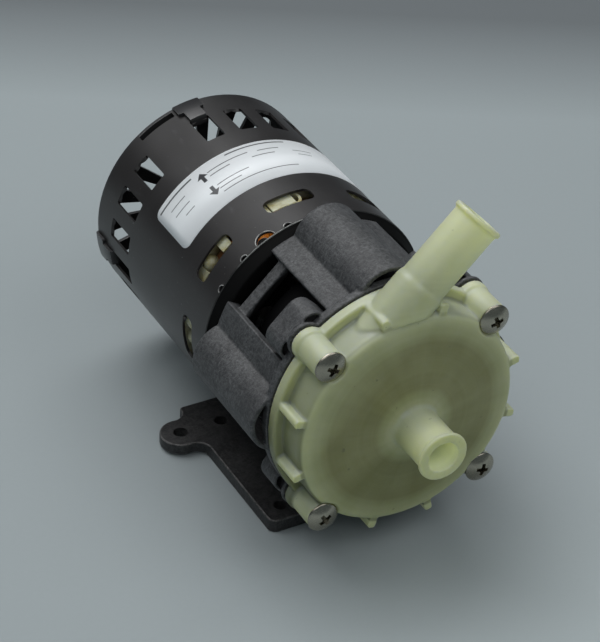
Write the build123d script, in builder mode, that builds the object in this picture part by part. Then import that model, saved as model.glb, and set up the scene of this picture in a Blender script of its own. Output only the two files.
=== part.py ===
from build123d import *
import math
import os

# Magnetic drive pump on its open frame motor.
# X runs across the pump, Y from the inlet towards the motor, Z up. Millimetres.
# The origin is on the underside of the base, midway between its two rows of holes.
# Places along the pump are distances behind the seats of the cover screws.

# Base plate
base_thickness = 5.2
base_width = 71.6
base_front = 24.5
base_rear = 95.5
front_hole_row = 31.5
hole_row_spacing = 50.8
front_hole_spacing = 57.15
rear_hole_spacing = 50.8
ear_hole_spacing = 82.55
base_hole_radius = 2.4
ear_hole_radius = 2.6
ear_radius = 8.0
ear_lift = 1.0
ear_front_blend = 9.0
ear_rear_blend = 2.5
base_corner_radius = 3.0
base_edge_break = 0.7

# Front cover
cover_flange_margin = 0.74
cover_flange_front = 12.0
cover_flange_rear = 16.0
drum_radius = 39.7
dome_height = 4.0
dome_edge_fillet = 3.0
face_trim_inset = 0.2
cover_wall = 2.6
volute_radius = 35.0
fin_thickness = 3.0
fin_angle = 15.0
fin_front = 0.6
fin_embedding = 2.0
seal_groove_radius = 37.6
seal_groove_width = 2.2
seal_groove_depth = 1.8
seal_clearance = 0.04

# Cover screws
screw_circle_radius = 42.56
screw_radius = 2.35
screw_hole_radius = 2.7
screw_seat = 1.0
screw_length = 25.4
screw_head_radius = 5.5
screw_head_height = 2.5
screw_head_edge = 0.7
screw_head_clearance = 0.3
screw_cross_length = 5.4
screw_cross_width = 1.1
screw_cross_depth = 1.5
cover_boss_radius = 5.3
cover_ear_radius = 6.0

# Inlet spigot
inlet_radius = 7.75
inlet_bore_radius = 5.4
inlet_length = 17.7
inlet_lip = 1.1
inlet_root_fillet = 1.6

# Discharge spigot, tangent to the volute and rising to the right
discharge_angle = 45.0
discharge_offset = 29.0
discharge_depth = 7.6
discharge_radius = 7.94
discharge_bore_radius = 5.55
discharge_throat_radius = 5.0
discharge_lip = 0.9
discharge_reach = 65.1
discharge_boss_radius = 8.6
discharge_boss_end = 36.9
discharge_start = 12.0
discharge_bore_start = 35.5

# Both spigots
lip_length = 1.5
lip_edge_break = 0.5

# Rear housing, the can between the two magnets
housing_flange_radius = 39.4
housing_flange_thickness = 2.5
can_inner_radius = 21.5
can_wall = 1.5
can_end_front = 43.5
can_end_thickness = 3.0
spindle_boss_radius = 6.5
spindle_boss_length = 4.0

# Spindle, washers and bushing
spindle_radius = 3.15
spindle_front = 1.6
spindle_head_radius = 5.0
spindle_head_thickness = 1.4
spindle_seat_depth = 1.0
washer_radius = 6.2
washer_thickness = 1.2
end_float = 0.3
running_clearance = 0.05
fit_clearance = 0.02
bushing_radius = 6.0

# Impeller and its magnet capsule
impeller_radius = 31.0
impeller_disc_front = 11.6
impeller_disc_thickness = 2.6
impeller_hub_radius = 8.2
vane_front = 2.8
vane_thickness = 1.8
vane_count = 6
vane_root_radius = 9.5
vane_sweep = 50.0
capsule_gap = 1.1
capsule_wall = 1.4
inner_magnet_hole_radius = 10.0

# Outer drive magnet on the motor shaft
drive_magnet_gap = 1.2
cup_wall = 3.0
cup_front = 22.8
cup_back_gap = 1.5
cup_back_thickness = 3.0
cup_edge_break = 0.8
drive_magnet_thickness = 3.8
drive_magnet_count = 8
drive_magnet_gap_angle = 3.0
drive_magnet_margin = 1.6
hub_radius = 9.0
hub_length = 9.0
set_screw_radius = 2.0
set_screw_recess = 0.5

# Motor bracket
bracket_front = 16.8
bracket_rear = 60.0
bracket_flange_thickness = 3.2
bracket_flange_margin = 0.84
bracket_ear_radius = 6.4
recess_clearance = 0.1
recess_floor_thickness = 3.0
recess_floor_radius = 40.4
bracket_opening_margin = 2.0
frame_inner_radius = 38.0
frame_outer_radius = 41.0
frame_half_angle = 29.4
column_inset = 5.5
column_radius = 12.0
column_wall = 1.7
column_front = 17.6
pad_thickness = 3.5
pad_inner_radius = 28.5
access_hole_radius = 5.5
hump_margin = 4.64
hump_half_width = 9.5
hump_corner_radius = 5.0
hump_wall = 1.2
hump_embedding = 2.0
hump_front = 19.0
hump_rear = 29.2
insert_boss_radius = 4.3
insert_radius = 3.2
insert_length = 8.0
crossbar_front = 51.4
crossbar_width = 4.9
crossbar_distance = 37.0
crossbar_thickness = 3.0
crossbar_half_length = 13.5
foot_half_width = 14.0
foot_front = 24.0
foot_height = 6.4
foot_screw_rows = (31.0, 49.0)
foot_screw_radius = 1.9
foot_screw_clearance = 0.3
foot_screw_head_radius = 4.0
foot_screw_head_height = 2.2
foot_screw_length = 7.4
foot_screw_recess = 3.0

# Bracket to motor screws
bracket_screw_circle = 34.0
bracket_screw_radius = 2.0
bracket_screw_head_radius = 3.6
bracket_screw_head_height = 2.6
bracket_screw_clearance = 0.2
bracket_screw_tail = 1.0
bracket_nut_radius = 4.0
bracket_nut_thickness = 3.2

# Motor shell
shell_radius = 42.0
shell_wall = 0.9
shell_cut_reach = 2.7
shell_front = 64.3
shell_rear = 147.9
window_count = 20
window_start = 10.9
window_width = 7.3
window_length = 14.5
window_setback = 9.9
window_corner = 0.8
closed_window = 6
rear_notch_width = 14.6
rear_notch_depth = 3.0
front_slot_count = 8
front_slot_start = 6.6
front_slot_width = 16.4
front_slot_front = 73.5
front_slot_rear = 80.3
front_slot_corner = 2.2
lead_notch_angle = 118.0
lead_notch_radius = 3.6
crimp_notch_angles = (106.0, 131.0, 148.5)
crimp_notch_radius = 1.3

# Motor end cap
cap_thickness = 1.3
cap_slot_half_angle = 4.7
cap_slot_inner_radius = 19.5
cap_slot_margin = 4.5
tab_count = 4
tab_start = 10.9
tab_half_width = 5.0
tab_length = 4.9
tongue_half_width = 3.1
tab_thickness = 1.2
tab_clearance = 0.1
tab_hook = 3.0
tab_root_depth = 3.0

# Motor front plate
plate_thickness = 1.6
plate_face_inset = 3.0
plate_rim_depth = 10.0
plate_rim_slope = 3.5
plate_boss_front_step = 1.4
plate_vent_count = 8
plate_vent_circle = 23.0
plate_vent_radius = 4.5
plate_shaft_hole_gap = 1.03

# Bearings and shaft
shaft_radius = 3.97
shaft_setback = 2.3
shaft_edge_break = 0.4
bearing_radius = 8.0
bearing_end_radius = 6.4
bearing_length = 9.0
bearing_cup_wall = 1.6
front_bearing_front = 60.6
rear_bearing_setback = 10.5

# Stator, windings and rotor
stack_front = 84.0
stack_rear = 112.0
stator_bore_radius = 25.0
stator_slot_count = 16
stator_slot_outer_radius = 35.5
stator_slot_half_angle = 5.5
air_gap = 0.45
coil_count = 8
coil_inner_radius = 28.0
coil_outer_radius = 37.0
coil_half_angle = 16.0
coil_overhang = 8.5
coil_rounding = 2.4
insulator_inner_radius = 26.2
insulator_clearance = 0.5
insulator_thickness = 1.6
insulator_wall = 1.5
insulator_tab_half_angle = 6.0
insulator_tab_offset = 5.0
insulator_tab_height = 8.0
insulator_post_radius = 2.3
insulator_post_height = 7.0
insulator_post_inset = 0.4
end_ring_thickness = 3.2
end_ring_hole_radius = 14.0
end_ring_margin = 1.0

# Cooling fan
fan_setback = 23.3
fan_length = 9.0
fan_hub_radius = 8.5
fan_radius = 25.0
fan_disc_thickness = 1.2
fan_blade_count = 9
fan_blade_thickness = 1.2
fan_blade_sweep = 12.0
fan_blade_embedding = 1.0

# Label on the motor shell
label_front = 90.0
label_rear = 114.0
label_first_angle = 31.0
label_last_angle = 149.0
label_thickness = 0.15
label_corner_radius = 3.0

# How far cutting shapes run past what they cut, and how blades bend
cut_overrun = 1.0
blade_middle_share = 0.6

# Places that follow from the sizes above
column_centre_radius = shell_radius - column_inset
axis_height = base_thickness + column_centre_radius + column_radius
seat_y = -(front_hole_row + hole_row_spacing / 2)
rear_hole_row = front_hole_row + hole_row_spacing
inlet_tip = -dome_height - inlet_length
housing_flange_rear = cover_flange_rear + housing_flange_thickness
bracket_flange_rear = bracket_front + bracket_flange_thickness
recess_radius = housing_flange_radius + recess_clearance
recess_floor_rear = housing_flange_rear + recess_floor_thickness
pad_front = bracket_rear - pad_thickness
bracket_hole_radius = bracket_screw_radius + bracket_screw_clearance
cover_flange_radius = screw_circle_radius + cover_flange_margin
bracket_flange_radius = screw_circle_radius + bracket_flange_margin
hump_radius = screw_circle_radius + hump_margin
can_outer_radius = can_inner_radius + can_wall
can_end_rear = can_end_front + can_end_thickness
spindle_boss_front = can_end_front - spindle_boss_length
spindle_rear = can_end_front + spindle_seat_depth
front_washer_front = spindle_front + spindle_head_thickness
bushing_front = front_washer_front + washer_thickness + end_float
bushing_rear = spindle_boss_front - washer_thickness - end_float
impeller_disc_rear = impeller_disc_front + impeller_disc_thickness
magnet_front = impeller_disc_rear + capsule_wall
magnet_rear = bushing_rear - capsule_wall
cup_back_front = can_end_rear + cup_back_gap
cup_back_rear = cup_back_front + cup_back_thickness
hub_rear = cup_back_front + hub_length
drive_magnet_inner_radius = can_outer_radius + drive_magnet_gap
drive_magnet_outer_radius = drive_magnet_inner_radius + drive_magnet_thickness
cup_radius = drive_magnet_outer_radius + cup_wall
bracket_opening_radius = cup_radius + bracket_opening_margin
capsule_radius = can_inner_radius - capsule_gap
shell_inner_radius = shell_radius - shell_wall
insulator_outer_radius = shell_inner_radius - insulator_clearance
plate_face_radius = shell_radius - plate_face_inset
plate_shaft_hole_radius = shaft_radius + plate_shaft_hole_gap
cap_slot_outer_radius = shell_radius - cap_slot_margin
window_rear = shell_rear - window_setback
window_front = window_rear - window_length
shaft_rear = shell_rear - shaft_setback
rear_bearing_front = shell_rear - rear_bearing_setback
fan_front = shell_rear - fan_setback
fan_rear = fan_front + fan_length
rotor_radius = stator_bore_radius - air_gap
cap_rear = shell_rear + cap_thickness
shaft_bore_radius = shaft_radius + fit_clearance
shaft_line = Axis((0, seat_y, axis_height), (0, 1, 0))
window_pitch = 360 / window_count
column_angles = [0, 90, 180, 270]
quarter_angles = [45, 135, 225, 315]


def spots(radius, angles):
    """Places on a circle round the shaft line, for a sketch square to it."""
    return [
        (radius * math.cos(math.radians(angle)), radius * math.sin(math.radians(angle)))
        for angle in angles
    ]


def across(distance):
    """Plane square to the shaft line, facing the inlet, at a distance behind the seats."""
    return Plane((0, seat_y + distance, axis_height), x_dir=(1, 0, 0), z_dir=(0, -1, 0))


def lengthwise():
    """Plane through the shaft line: local x is the radius and local y the distance."""
    return Plane((0, seat_y, axis_height), x_dir=(1, 0, 0), z_dir=(0, 0, 1))


def facing(angle, distance, radius):
    """Plane facing away from the shaft line: local x runs round it and local y to the inlet."""
    turn = math.radians(angle)
    outward = (math.cos(turn), 0, math.sin(turn))
    centre = (radius * outward[0], seat_y + distance, axis_height + radius * outward[2])
    return Plane(centre, x_dir=(-math.sin(turn), 0, math.cos(turn)), z_dir=outward)


def along_discharge(distance):
    """Plane square to the discharge spigot, at a distance from where it passes the shaft line."""
    turn = math.radians(discharge_angle)
    ahead = (math.cos(turn), 0, math.sin(turn))
    foot = (-discharge_offset * math.sin(turn), discharge_offset * math.cos(turn))
    centre = (
        foot[0] + distance * ahead[0],
        seat_y + discharge_depth,
        axis_height + foot[1] + distance * ahead[2],
    )
    return Plane(centre, x_dir=(0, 1, 0), z_dir=ahead)


def ring(inner, outer, front, rear, mode=Mode.ADD):
    """Round ring between two distances, in the part being built."""
    with BuildSketch(across(rear)) as outline:
        Circle(outer)
        if inner > 0:
            Circle(inner, mode=Mode.SUBTRACT)
    extrude(outline.sketch, amount=rear - front, mode=mode)


def rods(radius, places, front, rear, mode=Mode.ADD):
    """Equal round rods, or holes, along the shaft line between two distances."""
    with BuildSketch(across(rear)) as outline:
        with Locations(*places):
            Circle(radius)
    extrude(outline.sketch, amount=rear - front, mode=mode)


def spigot(radius, front, rear, mode=Mode.ADD):
    """Round length of the discharge spigot between two distances along it."""
    with BuildSketch(along_discharge(front)) as outline:
        Circle(radius)
    extrude(outline.sketch, amount=rear - front, mode=mode)


def turned(points, mode=Mode.ADD):
    """Solid turned about the shaft line from an outline of (radius, distance) points."""
    with BuildSketch(lengthwise()) as outline:
        with BuildLine():
            Polyline(*points, close=True)
        make_face()
    revolve(outline.sketch, axis=shaft_line, mode=mode)


def sector(inner, outer, middle_angle, half_angle):
    """Segment of a flat ring about an angle, for a sketch square to the shaft line."""
    far = (outer + cut_overrun) / math.cos(math.radians(half_angle))
    first, last = spots(far, [middle_angle - half_angle, middle_angle + half_angle])
    with BuildSketch(mode=Mode.PRIVATE) as segment:
        with BuildLine():
            Polyline((0, 0), first, last, close=True)
        make_face()
        Circle(outer, mode=Mode.INTERSECT)
        if inner > 0:
            Circle(inner, mode=Mode.SUBTRACT)
    return segment.sketch


def hump_outline(outer, half_width, corner):
    """Rounded saddle over each cover screw, for a sketch square to the shaft line."""
    root = frame_inner_radius - hump_embedding
    with BuildSketch(mode=Mode.PRIVATE) as saddle:
        with Locations(((root + outer) / 2, 0)):
            Rectangle(outer - root, 2 * half_width)
        fillet(saddle.vertices().group_by(Axis.X)[-1], corner)
    return saddle.sketch


def swept_blade(inner, outer, start_angle, sweep, width):
    """Curved blade between two radii, for a sketch square to the shaft line."""
    first = spots(inner, [start_angle])[0]
    middle = spots((inner + outer) / 2, [start_angle + blade_middle_share * sweep])[0]
    last = spots(outer, [start_angle + sweep])[0]
    with BuildSketch(mode=Mode.PRIVATE) as blade:
        with BuildLine():
            ThreePointArc(first, middle, last)
        trace(line_width=width)
    return blade.sketch


def save(piece, name):
    """Write one finished piece under its name."""
    piece.part.label = name
    export_step(piece.part, "parts/" + name + ".step")


os.makedirs("parts", exist_ok=True)

# Base plate: a moulded plate with a drilled ear on each side at the back
ear_row = seat_y + rear_hole_row
plate_middle = seat_y + (base_front + base_rear) / 2

with BuildPart() as base_plate:
    with BuildSketch() as base_outline:
        with Locations((0, plate_middle)):
            RectangleRounded(base_width, base_rear - base_front, base_corner_radius)
        with Locations((0, ear_row)):
            with GridLocations(ear_hole_spacing, 0, 2, 1):
                Circle(ear_radius)
        joins = [v for v in base_outline.vertices() if abs(v.Y - ear_row) < ear_radius]
        fillet([v for v in joins if v.Y < ear_row], ear_front_blend)
        joins = [v for v in base_outline.vertices() if 0 < v.Y - ear_row < ear_radius]
        joins.sort(key=lambda v: abs(abs(v.X) - base_width / 2))
        fillet(joins[:2], ear_rear_blend)
    extrude(amount=base_thickness)
    chamfer(base_plate.faces().sort_by(Axis.Z)[-1].edges(), base_edge_break)
    with BuildSketch():
        with Locations((0, ear_row)):
            with GridLocations(ear_hole_spacing, 0, 2, 1):
                Circle(ear_radius + ear_front_blend)
        with Locations((0, plate_middle)):
            Rectangle(base_width + 2 * cut_overrun, 2 * (base_rear - base_front), mode=Mode.SUBTRACT)
    extrude(amount=ear_lift, mode=Mode.SUBTRACT)
    with BuildSketch():
        with Locations((0, seat_y + front_hole_row)):
            with GridLocations(front_hole_spacing, 0, 2, 1):
                Circle(base_hole_radius)
        with Locations((0, ear_row)):
            with GridLocations(rear_hole_spacing, 0, 2, 1):
                Circle(base_hole_radius)
            with GridLocations(ear_hole_spacing, 0, 2, 1):
                Circle(ear_hole_radius)
        with Locations(*[(0, seat_y + row) for row in foot_screw_rows]):
            Circle(foot_screw_radius + foot_screw_clearance)
    extrude(amount=base_thickness, mode=Mode.SUBTRACT)
    with BuildSketch():
        with Locations(*[(0, seat_y + row) for row in foot_screw_rows]):
            Circle(foot_screw_head_radius + foot_screw_clearance)
    extrude(amount=foot_screw_recess, mode=Mode.SUBTRACT)
save(base_plate, "base_plate")

with BuildPart() as base_screws:
    for radius, height in (
        (foot_screw_head_radius, -foot_screw_head_height),
        (foot_screw_radius, foot_screw_length),
    ):
        with BuildSketch(Plane.XY.offset(foot_screw_recess)):
            with Locations(*[(0, seat_y + row) for row in foot_screw_rows]):
                Circle(radius)
        extrude(amount=height)
save(base_screws, "base_screws")

# Motor bracket: a flanged frame with four hollow columns, open windows and a foot
column_spots = spots(column_centre_radius, column_angles)
cover_screw_spots = spots(screw_circle_radius, quarter_angles)
bracket_screw_spots = spots(bracket_screw_circle, column_angles)

with BuildPart() as motor_bracket:
    with BuildSketch(across(bracket_rear)):
        for angle in column_angles:
            add(sector(0, frame_outer_radius, angle, frame_half_angle))
        with Locations(*column_spots):
            Circle(column_radius)
        Circle(frame_inner_radius, mode=Mode.SUBTRACT)
    extrude(amount=bracket_rear - column_front)
    with BuildSketch(across(hump_rear)):
        for angle in quarter_angles:
            add(hump_outline(hump_radius, hump_half_width, hump_corner_radius).rotate(Axis.Z, angle))
    extrude(amount=hump_rear - hump_front)
    rods(column_radius - column_wall, column_spots, column_front, pad_front, Mode.SUBTRACT)
    with BuildSketch(across(hump_rear - hump_wall)):
        for angle in quarter_angles:
            hollow = hump_outline(
                hump_radius - hump_wall,
                hump_half_width - hump_wall,
                hump_corner_radius - hump_wall,
            )
            add(hollow.rotate(Axis.Z, angle))
    extrude(amount=hump_rear - hump_wall - hump_front, mode=Mode.SUBTRACT)
    with BuildSketch(across(bracket_rear)):
        for angle in column_angles:
            add(sector(pad_inner_radius, frame_outer_radius, angle, frame_half_angle))
    extrude(amount=pad_thickness)
    with BuildSketch(across(crossbar_front + crossbar_width)):
        with PolarLocations(crossbar_distance - crossbar_thickness / 2, 4, start_angle=45):
            Rectangle(crossbar_thickness, 2 * crossbar_half_length)
    extrude(amount=crossbar_width)
    turned(
        [
            (bracket_opening_radius, housing_flange_rear),
            (recess_radius, housing_flange_rear),
            (recess_radius, bracket_front),
            (bracket_flange_radius, bracket_front),
            (bracket_flange_radius, bracket_flange_rear),
            (recess_floor_radius, bracket_flange_rear),
            (recess_floor_radius, recess_floor_rear),
            (bracket_opening_radius, recess_floor_rear),
        ]
    )
    rods(bracket_ear_radius, cover_screw_spots, bracket_front, bracket_flange_rear)
    rods(insert_boss_radius, cover_screw_spots, bracket_flange_rear, hump_rear - hump_wall)
    ring(0, recess_radius, bracket_front, housing_flange_rear, Mode.SUBTRACT)
    rods(screw_hole_radius, cover_screw_spots, bracket_front, bracket_flange_rear, Mode.SUBTRACT)
    rods(
        insert_radius,
        cover_screw_spots,
        bracket_flange_rear,
        bracket_flange_rear + insert_length,
        Mode.SUBTRACT,
    )
    rods(access_hole_radius, bracket_screw_spots, housing_flange_rear, recess_floor_rear, Mode.SUBTRACT)
    rods(bracket_hole_radius, bracket_screw_spots, pad_front, bracket_rear, Mode.SUBTRACT)
    with BuildSketch(across(bracket_rear)):
        with Locations((0, -(column_centre_radius + column_radius) + foot_height / 2)):
            Rectangle(2 * foot_half_width, foot_height)
    extrude(amount=bracket_rear - foot_front)
    with BuildSketch(Plane.XY.offset(base_thickness)):
        with Locations(*[(0, seat_y + row) for row in foot_screw_rows]):
            Circle(foot_screw_radius)
    extrude(amount=foot_screw_recess + foot_screw_length - base_thickness, mode=Mode.SUBTRACT)
save(motor_bracket, "motor_bracket")

with BuildPart() as cover_screw_inserts:
    with BuildSketch(across(bracket_flange_rear + insert_length)):
        with Locations(*cover_screw_spots):
            Circle(insert_radius)
            Circle(screw_radius + fit_clearance, mode=Mode.SUBTRACT)
    extrude(amount=insert_length)
save(cover_screw_inserts, "cover_screw_inserts")

# Front cover: the volute with its inlet and discharge spigots moulded in one piece
with BuildPart() as front_cover:
    spigot(discharge_boss_radius, discharge_start, discharge_boss_end)
    spigot(discharge_radius, discharge_boss_end, discharge_reach)
    spigot(discharge_radius + discharge_lip, discharge_reach - lip_length, discharge_reach)
    discharge_end = front_cover.faces().sort_by(Axis((0, 0, 0), along_discharge(0).z_dir))[-1]
    chamfer(discharge_end.edges(), lip_edge_break)
    ring(0, drum_radius - face_trim_inset, -dome_height, 0, Mode.SUBTRACT)
    with BuildSketch(lengthwise()) as cover_outline:
        with BuildLine():
            Polyline(
                (0, cover_flange_rear),
                (cover_flange_radius, cover_flange_rear),
                (cover_flange_radius, cover_flange_front),
                (drum_radius, cover_flange_front),
                (drum_radius, 0),
                (inlet_radius, -dome_height),
                (inlet_radius, inlet_tip + lip_length),
                (inlet_radius + inlet_lip, inlet_tip + lip_length),
                (inlet_radius + inlet_lip, inlet_tip + lip_edge_break),
                (inlet_radius + inlet_lip - lip_edge_break, inlet_tip),
                (0, inlet_tip),
                close=True,
            )
        make_face()
        drum_edge = cover_outline.vertices().sort_by_distance((drum_radius, 0))[0]
        fillet(drum_edge, dome_edge_fillet)
        inlet_root = cover_outline.vertices().sort_by_distance((inlet_radius, -dome_height))[0]
        fillet(inlet_root, inlet_root_fillet)
    revolve(axis=shaft_line)
    with BuildSketch(across(cover_flange_front)):
        fin_length = cover_flange_radius - drum_radius + fin_embedding
        for side in (-fin_angle, fin_angle):
            with PolarLocations(cover_flange_radius - fin_length / 2, 4, start_angle=side):
                Rectangle(fin_length, fin_thickness)
    extrude(amount=cover_flange_front - fin_front)
    rods(cover_boss_radius, cover_screw_spots, screw_seat, cover_flange_rear)
    rods(cover_ear_radius, cover_screw_spots, cover_flange_front, cover_flange_rear)
    ring(
        0,
        screw_circle_radius + cover_ear_radius,
        cover_flange_rear,
        cover_flange_rear + discharge_boss_radius,
        Mode.SUBTRACT,
    )
    inner_dome_slope = dome_height / (drum_radius - inlet_radius)
    turned(
        [
            (0, cover_flange_rear),
            (volute_radius, cover_flange_rear),
            (volute_radius, cover_wall - inner_dome_slope * (drum_radius - volute_radius)),
            (inlet_bore_radius, cover_wall - dome_height),
            (0, cover_wall - dome_height),
        ],
        Mode.SUBTRACT,
    )
    ring(0, inlet_bore_radius, inlet_tip, 0, Mode.SUBTRACT)
    spigot(discharge_throat_radius, discharge_start, discharge_bore_start, Mode.SUBTRACT)
    spigot(discharge_bore_radius, discharge_bore_start, discharge_reach, Mode.SUBTRACT)
    ring(
        seal_groove_radius - seal_groove_width / 2,
        seal_groove_radius + seal_groove_width / 2,
        cover_flange_rear - seal_groove_depth,
        cover_flange_rear,
        Mode.SUBTRACT,
    )
    rods(screw_hole_radius, cover_screw_spots, screw_seat, cover_flange_rear, Mode.SUBTRACT)
    head_recess_radius = screw_head_radius + screw_head_clearance
    rods(head_recess_radius, cover_screw_spots, -dome_height, screw_seat, Mode.SUBTRACT)
save(front_cover, "front_cover")

with BuildPart() as cover_seal:
    seal_section_radius = (seal_groove_depth - seal_clearance) / 2
    with BuildSketch(lengthwise()):
        with Locations((seal_groove_radius, cover_flange_rear - seal_groove_depth / 2)):
            Circle(seal_section_radius)
    revolve(axis=shaft_line)
save(cover_seal, "cover_seal")

# Cover screws: truss heads with a cross recess
with BuildPart() as cover_screws:
    rods(screw_radius, cover_screw_spots, screw_seat, screw_seat + screw_length)
    rods(screw_head_radius, cover_screw_spots, screw_seat - screw_head_height, screw_seat)
    crowns = cover_screws.faces().sort_by(Axis.Y)[:4]
    fillet([edge for crown in crowns for edge in crown.edges()], screw_head_height - screw_head_edge)
    with BuildSketch(across(screw_seat - screw_head_height + screw_cross_depth)):
        with Locations(*cover_screw_spots):
            Rectangle(screw_cross_length, screw_cross_width)
            Rectangle(screw_cross_width, screw_cross_length)
    extrude(amount=screw_cross_depth, mode=Mode.SUBTRACT)
save(cover_screws, "cover_screws")

# Rear housing: the thin can that keeps the liquid away from the drive magnet
with BuildPart() as rear_housing:
    turned(
        [
            (can_inner_radius, cover_flange_rear),
            (housing_flange_radius, cover_flange_rear),
            (housing_flange_radius, housing_flange_rear),
            (can_outer_radius, housing_flange_rear),
            (can_outer_radius, can_end_rear),
            (0, can_end_rear),
            (0, spindle_rear),
            (spindle_radius + fit_clearance, spindle_rear),
            (spindle_radius + fit_clearance, spindle_boss_front),
            (spindle_boss_radius, spindle_boss_front),
            (spindle_boss_radius, can_end_front),
            (can_inner_radius, can_end_front),
        ]
    )
save(rear_housing, "rear_housing")

with BuildPart() as spindle:
    turned(
        [
            (0, spindle_front),
            (spindle_head_radius, spindle_front),
            (spindle_head_radius, front_washer_front),
            (spindle_radius, front_washer_front),
            (spindle_radius, spindle_rear),
            (0, spindle_rear),
        ]
    )
save(spindle, "spindle")

washer_fronts = {
    "front_thrust_washer": front_washer_front,
    "rear_thrust_washer": spindle_boss_front - washer_thickness,
}
for washer_name, washer_front in washer_fronts.items():
    with BuildPart() as washer:
        ring(
            spindle_radius + running_clearance,
            washer_radius,
            washer_front,
            washer_front + washer_thickness,
        )
    save(washer, washer_name)

# Impeller: vanes in front, the sealed magnet capsule behind
with BuildPart() as impeller:
    ring(0, impeller_radius, impeller_disc_front, impeller_disc_rear)
    ring(0, impeller_hub_radius, bushing_front, impeller_disc_front)
    with BuildSketch(across(impeller_disc_front)):
        for step in range(vane_count):
            start = 360 / vane_count * step
            tip_radius = impeller_radius - vane_thickness / 2
            add(swept_blade(vane_root_radius, tip_radius, start, vane_sweep, vane_thickness))
        Circle(vane_root_radius - vane_thickness, mode=Mode.SUBTRACT)
    extrude(amount=impeller_disc_front - vane_front)
    ring(0, capsule_radius, impeller_disc_rear, bushing_rear)
    ring(
        inner_magnet_hole_radius,
        capsule_radius - capsule_wall,
        magnet_front,
        magnet_rear,
        Mode.SUBTRACT,
    )
    ring(0, bushing_radius, bushing_front, bushing_rear, Mode.SUBTRACT)
save(impeller, "impeller")

with BuildPart() as inner_magnet:
    ring(inner_magnet_hole_radius, capsule_radius - capsule_wall, magnet_front, magnet_rear)
save(inner_magnet, "inner_magnet")

with BuildPart() as impeller_bushing:
    ring(spindle_radius + running_clearance, bushing_radius, bushing_front, bushing_rear)
save(impeller_bushing, "impeller_bushing")

# Drive magnet: a steel cup on the motor shaft, lined with magnets
with BuildPart() as drive_magnet_cup:
    turned(
        [
            (shaft_bore_radius, cup_back_front),
            (drive_magnet_outer_radius, cup_back_front),
            (drive_magnet_outer_radius, cup_front),
            (cup_radius, cup_front),
            (cup_radius, cup_back_rear - cup_edge_break),
            (cup_radius - cup_edge_break, cup_back_rear),
            (hub_radius, cup_back_rear),
            (hub_radius, hub_rear),
            (shaft_bore_radius, hub_rear),
        ]
    )
    set_screw_place = (cup_back_rear + hub_rear) / 2
    with BuildSketch(facing(90, set_screw_place, 0)):
        Circle(set_screw_radius)
    extrude(amount=hub_radius + cut_overrun, mode=Mode.SUBTRACT)
save(drive_magnet_cup, "drive_magnet_cup")

with BuildPart() as drive_magnets:
    magnet_pitch = 360 / drive_magnet_count
    with BuildSketch(across(cup_back_front - drive_magnet_margin)):
        for step in range(drive_magnet_count):
            segment = sector(
                drive_magnet_inner_radius,
                drive_magnet_outer_radius,
                magnet_pitch * step,
                (magnet_pitch - drive_magnet_gap_angle) / 2,
            )
            add(segment)
    extrude(amount=cup_back_front - cup_front - 2 * drive_magnet_margin)
save(drive_magnets, "drive_magnets")

with BuildPart() as cup_set_screw:
    with BuildSketch(facing(90, set_screw_place, shaft_radius)):
        Circle(set_screw_radius - fit_clearance)
    extrude(amount=hub_radius - shaft_radius - set_screw_recess)
save(cup_set_screw, "cup_set_screw")

# Screws and nuts that hold the bracket to the motor
with BuildPart() as bracket_screws:
    rods(
        bracket_screw_head_radius,
        bracket_screw_spots,
        pad_front - bracket_screw_head_height,
        pad_front,
    )
    screw_end = bracket_rear + plate_thickness + bracket_nut_thickness + bracket_screw_tail
    rods(bracket_screw_radius, bracket_screw_spots, pad_front, screw_end)
save(bracket_screws, "bracket_screws")

with BuildPart() as bracket_nuts:
    nut_front = bracket_rear + plate_thickness
    with BuildSketch(across(nut_front + bracket_nut_thickness)):
        with Locations(*bracket_screw_spots):
            RegularPolygon(bracket_nut_radius, 6)
            Circle(bracket_screw_radius + fit_clearance, mode=Mode.SUBTRACT)
    extrude(amount=bracket_nut_thickness)
save(bracket_nuts, "bracket_nuts")

# Motor front plate: a pressed dish with a bearing cup and vents
with BuildPart() as motor_front_plate:
    rim_radius = shell_inner_radius - fit_clearance
    rim_front = bracket_rear + plate_rim_slope
    rim_rear = bracket_rear + plate_rim_depth
    cup_outer = bearing_radius + bearing_cup_wall
    cup_rear = front_bearing_front + bearing_length
    plate_back = bracket_rear + plate_thickness
    boss_front = bracket_rear - plate_boss_front_step
    turned(
        [
            (plate_shaft_hole_radius, boss_front),
            (cup_outer, boss_front),
            (cup_outer, bracket_rear),
            (plate_face_radius, bracket_rear),
            (rim_radius, rim_front),
            (rim_radius, rim_rear),
            (rim_radius - plate_thickness, rim_rear),
            (rim_radius - plate_thickness, rim_front + plate_thickness / 2),
            (plate_face_radius - plate_thickness / 2, plate_back),
            (cup_outer, plate_back),
            (cup_outer, cup_rear),
            (bearing_radius, cup_rear),
            (bearing_radius, front_bearing_front),
            (plate_shaft_hole_radius, front_bearing_front),
        ]
    )
    vent_angles = [360 / plate_vent_count * (step + 0.5) for step in range(plate_vent_count)]
    rods(
        plate_vent_radius,
        spots(plate_vent_circle, vent_angles),
        bracket_rear,
        plate_back,
        Mode.SUBTRACT,
    )
    rods(bracket_hole_radius, bracket_screw_spots, bracket_rear, plate_back, Mode.SUBTRACT)
save(motor_front_plate, "motor_front_plate")

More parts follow.
